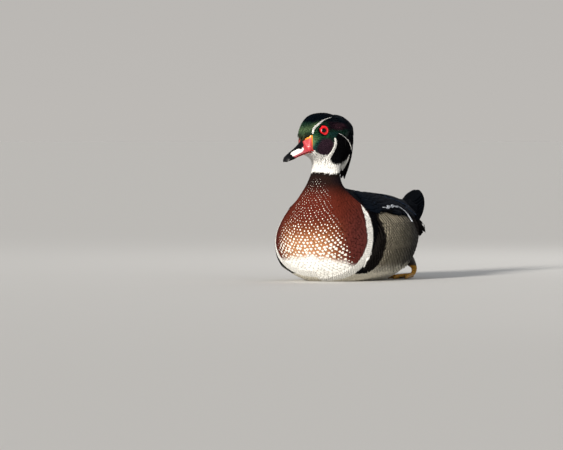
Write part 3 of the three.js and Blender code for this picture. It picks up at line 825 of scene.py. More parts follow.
def plumage(n):
    """Feathers: barbs, shaft, pale tip spots, fine bars and gloss, with painted shade at the roots, pale
    blue edges that are partly a painted sheen, and a painted blue sheen at grazing angles.
    """
    uv = n.add("ShaderNodeUVMap", uv_map="Feather").outputs[0]
    split = n.add("ShaderNodeSeparateXYZ", {0: uv})
    across = n.math("ABSOLUTE", n.less(split.outputs[0], 0.5))
    down = split.outputs[1]
    tint = n.attribute("tint", "Color")
    slope = n.plus(n.times(down, 5.0), n.times(across, -3.0))
    barb = n.math("SINE", n.times(n.times(slope, n.plus(n.attribute("size"), 2.0)), 3.2))
    grain = n.noise(700.0, 4.0)
    colour = n.blend("MULTIPLY", 1.0, tint, n.blend("MIX", grain, grey(0.72), grey(1.28)))
    light = n.add("ShaderNodeRGBToBW", {0: tint}).outputs[0]
    deep = n.less(1.0, n.times(n.step(light, 0.3, 0.8), 0.8))
    colour = n.blend("MULTIPLY", n.times(n.plus(barb, 1.0), 0.11, deep), colour, grey(0.35))
    # Painted shade: each feather darkens towards its root, where the feather over it would shade it, less on
    # pale feathers
    root = n.times(n.less(1.0, n.step(down, 0.1, 0.6)), deep, 0.25)
    colour = n.blend("MULTIPLY", root, colour, grey(0.4))
    spot = n.attribute("spot")
    wide = n.math("DIVIDE", across, n.math("MAXIMUM", n.times(spot, 0.40), 0.001))
    tall = n.math("DIVIDE", n.less(down, 0.84), n.math("MAXIMUM", n.times(spot, 0.17), 0.001))
    far = n.math("SQRT", n.plus(n.times(wide, wide), n.times(tall, tall)))
    shown = n.times(n.less(1.0, n.step(far, 0.8, 1.1)), n.step(spot, 0.1, 0.2))
    colour = n.blend("MIX", shown, colour, (0.86, 0.82, 0.74))
    wave = n.add("ShaderNodeTexWave", {"Scale": 3.4, "Distortion": 3.0, "Detail": 2.0, "Vector": uv},
                 wave_type="BANDS", bands_direction="Y").outputs["Fac"]
    bars = n.times(n.step(wave, 0.62, 0.85), n.step(n.attribute("bars"), 0.4, 0.6), 0.7)
    colour = n.blend("MIX", bars, colour, (0.02, 0.016, 0.012))
    # Pale blue edges: partly the feathers' own pale edges, partly a painted sheen
    edge = n.times(n.step(across, 0.40, 0.46), n.attribute("edge"))
    colour = n.blend("MIX", edge, colour, (0.07, 0.12, 0.22))
    gloss = n.attribute("gloss")
    # Painted sheen: glossy feathers turn blue where their surface turns away from the view
    facing = n.add("ShaderNodeLayerWeight", {"Blend": 0.35}).outputs["Facing"]
    painted_sheen = n.times(n.step(facing, 0.35, 0.95), gloss, 0.08)
    colour = n.blend("MIX", painted_sheen, colour, (0.02, 0.05, 0.15))
    n.bump(n.plus(n.times(barb, 0.5), grain), 0.35, 0.0003)
    n.surface(Base_Color=colour, Metallic=n.times(gloss, 0.35), Roughness=n.less(0.9, n.times(gloss, 0.4)),
              Specular_IOR_Level=0.012)


def painted(n, roughness, coat, grain, scale):
    """A plain surface that takes its colour from the mesh."""
    tint = n.attribute("tint", "Color")
    if grain:
        noise = n.noise(scale)
        tint = n.blend("MULTIPLY", grain, tint, n.blend("MIX", noise, grey(0.6), grey(1.4)))
        n.bump(noise, 0.3, 0.0002)
    n.surface(Base_Color=tint, Roughness=roughness, Coat_Weight=coat, Coat_Roughness=0.1,
              Specular_IOR_Level=0.16)


def material(name):
    """A material by name, made once."""
    made = bpy.data.materials.get(name)
    if made is None:
        made = bpy.data.materials.new(name)
        made.use_nodes = True
        nodes = Nodes(made.node_tree)
        if name == "plumage":
            plumage(nodes)
        elif name in SURFACES:
            painted(nodes, *SURFACES[name])
    return made


def bill_top(x):
    """The height of the bill's upper edge, where the feathers of the face begin."""
    return interp(x, [(94, 184), (96.2, 181), (98.4, 177.4), (101, 173.8), (103.5, 171.2), (106.2, 168.7),
                      (107.8, 167.0), (109, 167.0)])


def bill_edge(p):
    """Positive inside the bill's side, seen from the side, in millimetres."""
    x, z = p[..., 0], p[..., 2]
    return np.minimum(np.minimum(x - 98.2, (bill_top(x) - z) * 0.8), z - 154.2)


def from_eye(p):
    """Millimetres from the middle of the eye's opening, seen from the side."""
    return np.hypot((p[..., 0] - EYE_HOLE[0]) / 0.94, p[..., 2] - EYE_HOLE[1])


def skin_points(u, a):
    """The skin: just under the coat, drawn back into the bill's base."""
    p = straight(u, a) - normals(straight, u, a) * np.where(u > HEAD, 0.6, 1.3)[..., None]
    inside = ramp(bill_edge(p), -0.3, 0.9)
    p[..., 0] -= (p[..., 0] - 97.4) * inside
    p[..., 1] -= (p[..., 1] - np.clip(p[..., 1], -9, 9)) * inside
    return p


def make_skin():
    """One skin for body, neck and head."""
    u, a = grid(np.linspace(TAIL_ROOT, FACE, 260), circle(160))
    shape = capped(turn(skin_points(u, a), ramp(u, TURN_FROM, TURN_TO)))
    bake = np.stack([u / FACE, a / (2 * math.pi) + 0.5], -1)
    # The skin takes the plumage's colours a fifth darker: painted shade for the gaps between feathers
    add_piece("duck_skin", shape, with_ends(paint("body", u, a)[0]) * 0.8, "skin",
              ("torso", "neck", "head"), with_ends(bake, [bake[0, 0], bake[-1, -1]]))


def body_pitch(u):
    """Spacing of the body's feathers along the stations."""
    return sizes().body_pitch * interp(u, [(2, 6.0), (8, 6.0), (10.5, 5.2), (12, 4.6), (13.2, 4.4),
                                           (14.5, 4.0), (15.4, 3.7), (16.4, 3.0), (17.5, 2.3)])


def lay_body(coat, keep):
    """Contour feathers in rows over breast, neck, sides, belly and vent."""
    u, a, p = bricks(2.3, 17.6, body_pitch, 3)
    kept = keep(u, a)
    u, a, p = u[kept], a[kept], p[kept]
    rng = np.random.default_rng(5)
    coat.lay("body", u, a, rng.normal(0, 0.05, len(u)), p * rng.uniform(2.1, 2.4, len(u)), p * 0.64,
             rise=0.08 * p + 0.1, sink=0.10 * p, rows=5, cols=5, vary=0.4)


def lay_bars(coat):
    """Small feathers where the white and black bars need crisp edges."""
    u, a, _ = bricks(6.5, 14.5, even(sizes().bar_pitch * MM), 51)
    q = straight(u, a)
    kept = (np.abs(bar_of(q)) < 9) & (q[:, 2] < 97) & (q[:, 2] > 1) & (u < 14) & (np.abs(a) > 0.6)
    u, a = u[kept], a[kept]
    coat.lay("body", u, a, 0.5 * np.sign(a), 6.5, 1.5, lift=0.55, rise=0.35, rows=6, thick=0.15, spot=0.0)


def under_wing(u, a):
    """Whether a place is hidden by the folded wings or the tail."""
    return (u > 3.2) & (u < 9.8) & (np.abs(a) < math.radians(50))


def make_body_coat():
    """Feathers of the breast, neck, sides and belly."""
    front, back, bars = Coat(), Coat(), Coat()
    lay_bars(bars)
    lay_body(front, lambda u, a: (u >= SHOULDER) & ~((u > HEAD) & (np.abs(a) < 0.8)))
    lay_body(back, lambda u, a: (u < SHOULDER) & ~under_wing(u, a))
    front.build("breast_coat", "torso")
    back.build("side_coat", "torso")
    bars.build("bar_coat", "torso")


def side_grid(name, coat, low, high, edge):
    """A sheet's name, its coat and places on its left side with where they show from the side."""
    u, a = grid(np.linspace(low, high, 420), np.linspace(0.02, edge, 300))
    plain = crest_down_straight if name == "crest" else straight
    return name, coat, (u.ravel(), a.ravel(), plain(u, a).reshape(-1, 3))


def line_places(lines, step):
    """Places over broad lines seen from the side, about a step apart."""
    for line in lines:
        for (x0, z0, w0), (x1, z1, w1) in zip(line[:-1], line[1:]):
            long = math.hypot(x1 - x0, z1 - z0)
            for t in np.arange(0, 1, step / long):
                w = w0 + (w1 - w0) * t
                for off in np.linspace(-w, w, max(int(2 * w / step) + 1, 1)):
                    x = x0 + (x1 - x0) * t - (z1 - z0) / long * off
                    yield x, z0 + (z1 - z0) * t + (x1 - x0) / long * off


def lay_lines(grids, lines, tint, half, length, lifts, heading=0.0, signs=(1, -1)):
    """Rows of small feathers along lines seen from the side, on whichever sheet lies outermost there."""
    rng = np.random.default_rng(4)
    found = {name: [] for name, _, _ in grids}
    for x, z in line_places(lines, 1.4 * half):
        best = None
        for name, _, (u, a, p) in grids:
            near = np.flatnonzero((np.abs(p[:, 0] - x) < 0.4) & (np.abs(p[:, 2] - z) < 0.4))
            if len(near):
                i = near[p[near, 1].argmax()]
                if best is None or p[i, 1] > best[1]:
                    best = (name, p[i, 1], u[i], a[i])
        if best:
            found[best[0]].append(best[2:])
    for name, coat, _ in grids:
        u, a = np.array(found[name]).T
        for sign in signs:
            coat.lay(name, u + rng.normal(0, 0.004, len(u)), a * sign, heading * sign, length, half,
                     lift=lifts[name], rise=0.35, sink=0.7, thick=0.12, tint=tint, gloss=0.0, spot=0.0)


def make_head_coat():
    """Small feathers over the head, with its white lines."""
    def pitch(u):
        return sizes().head_pitch * MM + np.interp(u, [16.8, 18, 28], [0.6, 0.2, 0])

    def keep(u, a):
        q = straight(u, a)
        low = (q[..., 0] > 99) & (q[..., 2] < 155)
        crown = (q[..., 0] < 52) & (np.abs(a) < 1.0)
        return (from_eye(q) > EYE_HOLE[2]) & (bill_edge(q) < 0.2) & ~low & ~crown

    u, a, p = scatter(body, (16.9, -math.pi), (29.95, math.pi), pitch, keep, 11)
    q = straight(u, a)
    free = np.where(q[..., 0] > 84.2, np.maximum(from_eye(q) - 5.0, 1.2), 9)
    coat, plumes = Coat(), Coat()
    rng = np.random.default_rng(2)
    coat.lay("body", u, a, rng.normal(0, 0.12, len(u)), np.minimum(p * 2.3, free), p * 0.62, rise=0.5,
             sink=0.3, thick=0.12)
    grids = (side_grid("body", coat, 15.6, 29.9, 3.0), side_grid("crest", plumes, 0.02, 0.98, 1.7))
    lifts = {"body": 0.6, "crest": 1.7}
    lay_lines(grids, (BROW, NAPE), hue("white"), 0.36, 1.6, lifts)
    lay_lines(grids, (CHEEK, COLLAR), hue("white"), 0.42, 1.8, lifts)
    coat.build("head_coat", "head")
    plumes.build("crest_lines", "crest")


def make_crest():
    """The crest: a core and long plumes over it."""
    v, w = grid(np.linspace(0.02, 0.96, 60), circle(48))
    p = crest_straight(v, w) - normals(crest_straight, v, w) * (1.2 + 2.5 * ramp(v, 0.7, 1))[..., None]
    bake = with_ends(np.stack([v, w / 7 + 0.5], -1), [[0, 0], [1, 1]])
    # The core takes the head's colours at six tenths: painted shade under the plumes
    tint = with_ends(paint_head(p)[0]) * 0.6
    add_piece("crest_core", capped(turn(p)), tint, "skin", ("crest",), bake)
    coat = Coat()
    rng = np.random.default_rng(8)
    for start, end, count, lift in ((0.985, 0.74, 130, 0.5), (0.8, 0.4, 190, 0.3), (0.55, 0.26, 110, 0.0)):
        u = rng.uniform(end, start, count)
        a = np.radians(rng.uniform(-84, 84, count))
        length = np.interp(u, [0.25, 0.6, 1], [30, 34, 18]) * rng.uniform(0.85, 1.1, count)
        coat.lay("crest", u, a, rng.normal(0, 0.04, count), np.minimum(length, 104 * u),
                 np.interp(u, [0.3, 1], [2.3, 2.0]), lift=lift, rise=0.7, sink=1.2, rows=15, cols=5,
                 shape="plume", camber=0.15, thick=0.2, roll=rng.uniform(-0.06, 0.06, count))
    coat.build("crest_plumes", "crest")


def between(first, second, share):
    """Places on the line from one point to another."""
    return (a + (b - a) * share for a, b in zip(first, second))


def make_wings():
    """Folded wings: shell, coverts and the tiers of long feathers."""
    for side, sign in SIDES:
        slot = f"wing_{side}"
        v, w = grid(np.linspace(10.4, 4.4, 50), np.radians(np.linspace(3, 57, 40)) * sign)
        lift = 2.2 * np.sqrt(np.clip(1 - np.abs(2 * (np.degrees(np.abs(w)) - 30) / 54)**4, 0, 1))
        ring = np.concatenate([over(body, v, w, lift), over(body, v, w, -0.6)[:, ::-1]], 1)
        points, quads, tris = capped(ring)
        shape = (points, quads[:, ::sign], tris[:, ::sign])
        add_piece(f"wing_shell_{side}", shape, hue("black"), "skin", (slot,))
        coat = Coat()
        tone = hue("wing")
        for count, root_in, root_out, tip_in, tip_out, half, lift, roll, edge in TIERS:
            share = np.linspace(0, 1, count)
            x0, y0 = between(root_in, root_out, share)
            x1, y1 = between(tip_in, tip_out, share)
            y0, y1 = y0 * sign, y1 * sign
            heading = np.arctan2(y1 - y0, x0 - x1)
            coat.lay("rear", x0 / 100, np.radians(y0), heading, np.hypot(x1 - x0, y1 - y0), half, lift=lift,
                     rise=0.4, sink=0.0, roll=-roll * sign, rows=16, cols=9, shape="blunt",
                     camber=0.1, thick=0.5, tint=tone, edge=edge, gloss=0.5)
        u, a, p = bricks(4.6, 10.9, lambda u: np.interp(u, [4.5, 8, 10.9], [9.5, 8.5, 6.0]), 21 + sign)
        kept = (a * sign > math.radians(2)) & (a * sign < math.radians(58)) & (u > 5.4)
        u, a, p = u[kept], a[kept], p[kept]
        coat.lay("body", u, a, 0.06 * sign, p * 2.1, p * 0.6, lift=2.4, rise=1.5, sink=1.0, rows=6, cols=5,
                 shape="blunt", camber=0.15, thick=0.3, tint=tone, gloss=0.4)
        coat.build(f"wing_feathers_{side}", slot)


def make_flanks():
    """Long barred flank feathers below each wing, black and white ones along the top."""
    for side, sign in SIDES:
        coat = Coat()
        u, a, p = bricks(3.6, 10.4, even(sizes().flank_pitch * MM), 31 + sign)
        kept = (a * sign > math.radians(57)) & (a * sign < math.radians(118)) & (u < 9.9)
        u, a, p = u[kept], a[kept], p[kept]
        steep = np.interp(u, [4, 6.5, 9.6], [0.45, 0.8, 1.1]) * sign
        coat.lay("body", u, a, steep, p * 4.0, p * 0.5, lift=1.4, rise=0.9, sink=1.2, rows=8, shape="blunt",
                 camber=0.10, thick=0.15, gloss=0.0, spot=0.0, bars=1.0, shade=0.22)
        grids = (side_grid("body", coat, 3, 11.5, 2.2),)
        lay_lines(grids, (FLANK_LINE,), hue("black"), 0.8, 5.0, {"body": 3.2}, 0.2, (sign,))
        lay_lines(grids, (FLANK_TOP,), BLUISH_WHITE, 0.55, 3.0, {"body": 3.6}, 0.2, (sign,))
        coat.build(f"flank_feathers_{side}", f"flank_{side}", (f"flank_{side}",))


def make_tail():
    """The tail's fan, the feathers over its root and the wisps below it."""
    coat = Coat()
    tone = hue("tail")
    i = np.arange(9)
    for _, sign in SIDES:
        coat.lay("fan", np.full(9, 0.78), np.radians(2.0 + 9.8 * i) * sign, 0.02 * sign, 46 - 2.1 * i, 6.4,
                 lift=0.4 - 0.75 * i, rise=0.3, sink=0, rows=14, cols=9, shape="blunt", camber=0.08,
                 thick=0.5, tint=tone, gloss=0.5)
    rng = np.random.default_rng(61)
    n = 60
    coat.lay("fan", rng.uniform(0.75, 1.2, n), np.radians(rng.uniform(-80, 80, n)), 0.0, 20, 4.5, lift=1.0,
             rise=0.6, sink=1.0, rows=7, cols=5, tint=tone, gloss=0.5)
    n = 260
    root = rng.uniform(0.45, 1.35, n)
    spread = rng.normal(0, 42, n).clip(-85, 85)
    heading = rng.normal(0, 0.12, n)
    length = np.minimum(rng.uniform(18, 32, n), (root + 0.22) * 30 * rng.uniform(0.7, 1.0, n))
    coat.lay("vent", root, np.radians(spread), heading, length, 2.0, lift=rng.uniform(-11, 0.8, n),
             rise=rng.uniform(0.2, 3.0, n), sink=1.0, rows=9, cols=5, shape="plume",
             curl=0.15 * np.sign(spread), tint=WISP, gloss=0.1)
    coat.build("tail_feathers", "tail", ("tail",))


def bill_section(k, phi):
    """Upper bill before the turn: k along its rows, phi across it with the edges at plus and minus one."""
    row = row_at(BILL_TOP, k)
    t = np.abs(phi)
    free = ramp(k, 1.0, 2.3)
    tip = ramp(k, 5.5, 8)
    roof = np.sqrt(t**2 + 0.002) - 0.0447
    fall = (1 - np.cos(t * math.pi / 2)**0.45) * (1 - free)
    fall = fall + free * (roof * (1 - 0.5 * tip) + 0.5 * tip * t**2)
    rounded = np.sin(t * math.pi / 2)
    wide = rounded**0.7 * (1 - free) + free * (t**1.12 * (1 - tip) + tip * rounded)
    x = row[..., 0] + (row[..., 2] - row[..., 0]) * fall
    z = row[..., 1] + (on_line(row[..., 0], TOMIUM) - row[..., 1]) * fall
    return np.stack([x, np.sign(phi) * row[..., 4] * wide, np.minimum(z, bill_top(x) + 0.2)], -1)


def paint_bill(p):
    """The bill's colours: yellow base line, red sides, white patch, black ridge and nail."""
    x, y, z = p[..., 0], np.abs(p[..., 1]), p[..., 2]
    red, yellow = hue("bill"), hue("bill_edge")
    orange = (0.62, 0.11, 0.035)
    rim = mix(mix(yellow, orange, ramp(z, 176, 160)), red, ramp(z, 164, 156))
    band = ramp(z - bill_top(x) + interp(x, [(98, 4.8), (100, 4.2), (104, 3.4), (107, 2.6)]), 0, 0.4)
    banded = mix(mix(yellow, orange, ramp(x, 101, 105)), red, ramp(x, 104.5, 107))
    low_white = interp(x, [(106.9, 163), (107.3, 157.4), (109.7, 154.9), (114.5, 152.6), (119, 150.9),
                           (123.2, 149.3)])
    ridge = interp(x, [(104.9, 0.6), (105.6, 4.6), (109, 4.6), (111.7, 3.5), (115, 2.7), (118.3, 2.1),
                       (122.5, 1.6), (126, 3)])
    return layered(red, p, (
        ((0.40, 0.095, 0.115), ramp(x, 102, 112) * ramp(162 - z, 0, 6) * 0.9),
        (rim, 1 - ramp(x, 98.9, 99.6)),
        (banded, band * (x < 107.2)),
        (hue("white"), (z > low_white) & (x > 107)),
        (hue("black"), (y < ridge) & (x > 104.9)),
        (hue("black"), x > interp(y, [(0, 125.6), (3, 124.8), (6, 124.3), (8.2, 123.2)])),
    ))


def make_bill():
    """Upper and lower bill."""
    k, phi = grid(np.linspace(0.1, 8, 120), np.linspace(-1, 1, 65))
    top = bill_section(k, phi)
    tip = np.clip((k - 7.2) / 0.8, 0, 1)[..., None]
    top = top + (BILL_END - top) * (1 - np.sqrt(np.clip(1 - tip**2, 0, 1))) * 0.75
    hole = np.exp(-((top[..., 0] - 109.4) / 2.2)**2 - ((np.abs(top[..., 1]) - 4.3) / 0.9)**2)
    top[..., 1] -= np.sign(top[..., 1]) * hole * 1.5
    under = top[:, -2:0:-1].copy()
    under[..., 2] = np.minimum(under[..., 2] - 0.6, on_line(under[..., 0], TOMIUM) + 0.2)
    # The nostril's dent is painted black: painted shade for the opening
    tint = np.concatenate([mix(paint_bill(top), hue("black"), ramp(hole, 0.35, 0.6)), paint_bill(under)], 1)
    shape = capped(turn(np.concatenate([top, under], 1)))
    tint = with_ends(tint, [hue("black")] * 2)
    add_piece("upper_bill", shape, tint, "horn", ("bill_upper",))
    s, w = grid(np.linspace(97, 129, 60), circle(40))
    high = on_line(s, TOMIUM) - 0.35
    low = interp(s, [(97, 152.8), (99, 152.2), (106, 151.2), (118, 147.0), (127, 143.0), (129, 143.0)])
    half = np.interp(s, BILL[:, 2], BILL[:, 4]) * 0.93 * np.sqrt(np.clip((130.2 - s) / 6, 0, 1))
    p = np.stack([s, half * np.sin(w), (high + low) / 2 + (high - low) / 2 * np.cos(w)], -1)
    points, quads, tris = capped(turn(p))
    shape = (points, quads[:, ::-1], tris[:, ::-1])
    tint = with_ends(np.where((s > 121)[..., None], hue("black"), MOUTH_RED), [MOUTH_RED] * 2)
    add_piece("lower_bill", shape, tint, "horn", ("bill_lower",))


def eye_axes(sign):
    """Outward axis and two axes across one eye, before the turn."""
    forward, up = math.radians(EYE["forward"]), math.radians(EYE["up"])
    out = np.array([math.sin(forward) * math.cos(up), sign * math.cos(forward) * math.cos(up), math.sin(up)])
    side = np.cross(np.array([0, 0, 1.0]), out)
    side /= np.linalg.norm(side)
    return out, side, np.cross(out, side)


def make_eyes():
    """Eyeballs with red iris and black pupil, and the red rim of bare skin round each."""
    for side, sign in SIDES:
        centre = np.array([EYE["x"], sign * EYE["y"], EYE["z"]])
        out, across, up = eye_axes(sign)
        t, w = grid(np.radians(np.linspace(1, 120, 60)), circle(64, 0))
        radius = EYE["radius"] + 0.35 * np.exp(-(np.degrees(t) / 30)**2)
        ring = np.cos(w)[..., None] * across + np.sin(w)[..., None] * up
        p = centre + radius[..., None] * (np.cos(t)[..., None] * out + np.sin(t)[..., None] * ring)
        deg = np.degrees(t) / (1 + 0.06 * np.cos(w)**2 * ramp(np.degrees(t), 20, 30))
        streak = 0.85 + 0.15 * np.sin(w * 31 + 2 * np.sin(w * 7))
        tint = mix(np.zeros(p.shape), hue("iris"), ramp(deg, *PUPIL)) * streak[..., None]
        tint = mix(tint, (0.30, 0.004, 0.006), ramp(deg, *IRIS_DARK))
        tint = mix(tint, (0.02, 0.002, 0.002), ramp(deg, *IRIS_RIM))
        add_piece(f"eyeball_{side}", capped(turn(p)), with_ends(tint, [hue("black")] * 2), "eye",
                  (f"eye_{side}",))
        rings, cols = 72, 14
        w, s = grid(circle(rings, 0), circle(cols, 0))
        wide = np.radians(43.5 + 3 * np.cos(w)**2)[..., None]
        ring = np.cos(w)[..., None] * across + np.sin(w)[..., None] * up
        way = np.cos(wide) * out + np.sin(wide) * ring
        cross = -np.sin(wide) * out + np.cos(wide) * ring
        high = EYE["radius"] + 0.1 + 0.62 * np.cos(s) * (1 + 0.12 * np.sin(w * 26))
        p = centre + way * high[..., None] + cross * np.sin(s)[..., None]
        last = np.arange(cols)
        after = (last + 1) % cols
        start = (rings - 1) * cols
        join = np.stack([start + last, start + after, after, last], -1)
        quads = np.concatenate([grid_quads(rings, cols), join])
        add_piece(f"lid_{side}", (turn(p).reshape(-1, 3), quads, ()), hue("lid"), "lid")


def tube(path, radii, cols=20):
    """Rings along a path."""
    table = np.column_stack([path, radii])
    line = row_at(table, np.linspace(0, len(path) - 1, 6 * len(path)))
    way = np.gradient(line[:, :3], axis=0)
    way /= np.linalg.norm(way, axis=1, keepdims=True)
    side = np.cross(way, np.array([0, 1.0, 0.2]))
    side /= np.linalg.norm(side, axis=1, keepdims=True)
    other = np.cross(way, side)
    w = circle(cols, 0)[None, :, None]
    return line[:, None, :3] + line[:, None, 3:] * (np.cos(w) * side[:, None] + np.sin(w) * other[:, None])


def scute_tree():
    """Scutes with small gaps along the edges of a mesh."""
    tree = bpy.data.node_groups.new("scutes", "GeometryNodeTree")
    sockets = {}
    for label, kind in (("Geometry", "Geometry"), ("Spacing", "Float"), ("Size", "Vector"), ("Seed", "Int"),
                        ("Material", "Material")):
        made = tree.interface.new_socket(label, in_out="INPUT", socket_type=f"NodeSocket{kind}")
        sockets[label] = made.identifier
    tree.interface.new_socket("Geometry", in_out="OUTPUT", socket_type="NodeSocketGeometry")
    n = Nodes(tree)
    given = n.add("NodeGroupInput").outputs
    curve = n.add("GeometryNodeMeshToCurve", {0: given["Geometry"]})
    inputs = {"Curve": curve.outputs[0], "Length": given["Spacing"]}
    points = n.add("GeometryNodeCurveToPoints", inputs, mode="LENGTH")
    plate = n.add("GeometryNodeMeshUVSphere", {"Segments": 12, "Rings": 8, "Radius": 1})
    smooth = n.add("GeometryNodeSetShadeSmooth", {0: plate.outputs[0]})
    luck = n.add("FunctionNodeRandomValue", {2: 0.88, 3: 1.12, "Seed": given["Seed"]})
    scale = n.add("ShaderNodeVectorMath", {0: given["Size"], "Scale": luck.outputs[1]}, operation="SCALE")
    placed = n.add("GeometryNodeInstanceOnPoints", {
        "Points": points.outputs["Points"],
        "Rotation": points.outputs["Rotation"],
        "Instance": smooth.outputs[0],
        "Scale": scale.outputs[0],
    })
    real = n.add("GeometryNodeRealizeInstances", {0: placed.outputs[0]})
    coloured = n.add("GeometryNodeSetMaterial", {0: real.outputs[0], "Material": given["Material"]})
    n.add("NodeGroupOutput", {0: coloured.outputs[0]})
    return tree, sockets


def lay_scutes(name, paths):
    """Scutes along paths in the duck's millimetres."""
    tree, sockets = scute_tree()
    points, edges = [], []
    for path in paths:
        base = len(points)
        points += [tuple((np.array(place) + SHIFT) / MM) for place in path]
        edges += [(base + i, base + i + 1) for i in range(len(path) - 1)]
    mesh = bpy.data.meshes.new(name)
    mesh.from_pydata(points, edges, [])
    line = bpy.data.objects.new(name, mesh)
    bpy.context.scene.collection.objects.link(line)
    grown = line.modifiers.new("scutes", "NODES")
    grown.node_group = tree
    spacing = sizes().scute_spacing
    grown[sockets["Spacing"]] = spacing
    grown[sockets["Size"]] = (0.0019, 0.0010, spacing * 0.47)
    grown[sockets["Seed"]] = 5
    grown[sockets["Material"]] = material("foot")
    bpy.context.view_layer.update()
    solid = bpy.data.meshes.new_from_object(line.evaluated_get(bpy.context.evaluated_depsgraph_get()))
    line.modifiers.remove(grown)
    line.data = solid
    tint = np.tile(np.append(hue("foot") * 1.3, 1), (len(solid.vertices), 1)).astype(np.float32)
    solid.attributes.new("tint", "FLOAT_COLOR", "POINT").data.foreach_set("color", tint.ravel())
    solid.uv_layers.new(name="OFBake")
    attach(line, "root")


def make_feet():
    """Legs and webbed feet, tucked under the belly."""
    heel_x, heel_y = HEEL
    for side, sign in SIDES:
        flip = np.array([1, sign, 1])
        shape = capped(tube(LIMB * flip, (8, 6.5, 3.4, 2.4, 2.2)))
        tint = np.where(shape[0][:, 2:] > 15, THIGH_BROWN, hue("foot"))
        add_piece(f"shank_{side}", shape, tint, "foot", (f"leg_{side}",))
        shapes = []
        paths = [[(-94.6, 29.4 * sign, 13.5), (-94.3, 29.8 * sign, 9.0), (-91.5, 30.3 * sign, 6.2)]]
        for x, y in TOES:
            middle = ((x + heel_x) / 2, (y + heel_y) / 2, 2.8)
            toe = [(heel_x, heel_y, 3.2), middle, (x, y, 2.0), (x + 3, y, 0.9)]
            shapes.append(capped(tube(np.array(toe) * flip, (2.3, 2.0, 1.5, 0.6), 14)))
            paths.append([(heel_x + (x - heel_x) * t, (heel_y + (y - heel_y) * t) * sign, z)
                          for t, z in ((0.02, 5.5), (0.5, 4.8), (0.96, 3.5))])
        s, w = grid(np.linspace(0.1, 0.93, 20), np.linspace(0, 1, 24))
        x, y = (np.interp(w, [0, 0.5, 1], places) for places in zip(*TOES))
        far = s * (1 - 0.14 * np.abs(np.sin(w * 2 * math.pi)))
        web = np.stack([heel_x + (x - heel_x) * far, (heel_y + (y - heel_y) * far) * sign, 2.2 + 0 * s], -1)
        low = web - np.array([0, 0, 1.0])
        shapes.append(capped(np.concatenate([web, low[:, ::-1]], 1)))
        tones = [hue("foot") * 0.7] * len(TOES) + [WEB_BROWN]
        tint = np.concatenate([np.tile(tone, (len(shape[0]), 1)) for shape, tone in zip(shapes, tones)])
        lay_scutes(f"scutes_{side}", paths)
        add_piece(f"toes_{side}", merged(shapes), tint, "foot", (f"foot_{side}",))


def add_light(kind, name, energy, place, towards, **settings):
    """A light that shines from the side towards which it is told to lie."""
    data = bpy.data.lights.new(name, kind)
    data.energy = energy
    for key, value in settings.items():
        setattr(data, key, value)
    lamp = bpy.data.objects.new(name, data)
    bpy.context.scene.collection.objects.link(lamp)
    lamp.location = place
    lamp.rotation_euler = towards.to_track_quat("Z", "Y").to_euler()


def make_stage():
    """Floor, world, lights and camera."""
    scene = bpy.context.scene
    bpy.ops.mesh.primitive_circle_add(vertices=96, radius=30, fill_type="NGON", location=(0, 0, 0))
    floor = bpy.context.object
    floor.name = "floor"
    ground = material("floor")
    Nodes(ground.node_tree).surface(Base_Color=(0.675, 0.668, 0.648), Roughness=0.85, Specular_IOR_Level=0.1)
    floor.data.materials.append(ground)
    scene.world = bpy.data.worlds.new("studio")
    scene.world.use_nodes = True
    sky = Nodes(scene.world.node_tree)
    split = sky.add("ShaderNodeSeparateXYZ", {0: sky.add("ShaderNodeTexCoord").outputs["Generated"]})
    fade = sky.add("ShaderNodeMapRange", {2: 0.5, 0: split.outputs[2]})
    tone = sky.blend("MIX", fade.outputs[0], (0.505, 0.486, 0.463), (0.26, 0.27, 0.29))
    sky.put(tone, sky.tree.nodes["Background"].inputs[0])
    view = sizes()
    up = Vector((0, 0, 1))
    facing = Vector((math.cos(view.view_side), math.sin(view.view_side), 0))
    right = Vector((-math.sin(view.view_side), math.cos(view.view_side), 0))
    origin = Vector(SHIFT / MM)
    aim = origin - right * 0.0863 + up * 0.0657
    data = bpy.data.cameras.new("camera")
    data.lens = data.sensor_width * view.view_distance / view.view_width
    data.clip_end = 100
    camera = bpy.data.objects.new("camera", data)
    scene.collection.objects.link(camera)
    back = facing * math.cos(view.view_height) + up * math.sin(view.view_height)
    camera.location = aim + back * view.view_distance
    camera.rotation_euler = (aim - camera.location).to_track_quat("-Z", "Y").to_euler()
    scene.camera = camera
    add_light("SUN", "key", 5.4, (0, 0, 0), facing * 0.85 - right * 0.42 + up * 0.27, angle=math.radians(9),
              color=(1.0, 0.95, 0.88))
    for name, energy, place, size in (("fill", 0.8, facing * 1.2 + right + up * 0.5, 0.9),
                                      ("rim", 3.0, right * 0.6 - facing + up, 0.7)):
        add_light("AREA", name, energy, origin + place, place, size=size)
    scene.view_settings.view_transform = "Standard"


def panel_colour(name, description, default):
    """A colour that the panel shows."""
    return bpy.props.FloatVectorProperty(
        name=name, description=description, default=default, size=3, min=0, max=1, subtype="COLOR")


def panel_length(name, description, default, low, high):
    """A length that the panel shows."""
    return bpy.props.FloatProperty(
        name=name, description=description, default=default, min=low, max=high, unit="LENGTH")


def panel_angle(name, description, degrees):
    """An angle that the panel shows."""
    return bpy.props.FloatProperty(
        name=name, description=description, default=math.radians(degrees), unit="ROTATION")


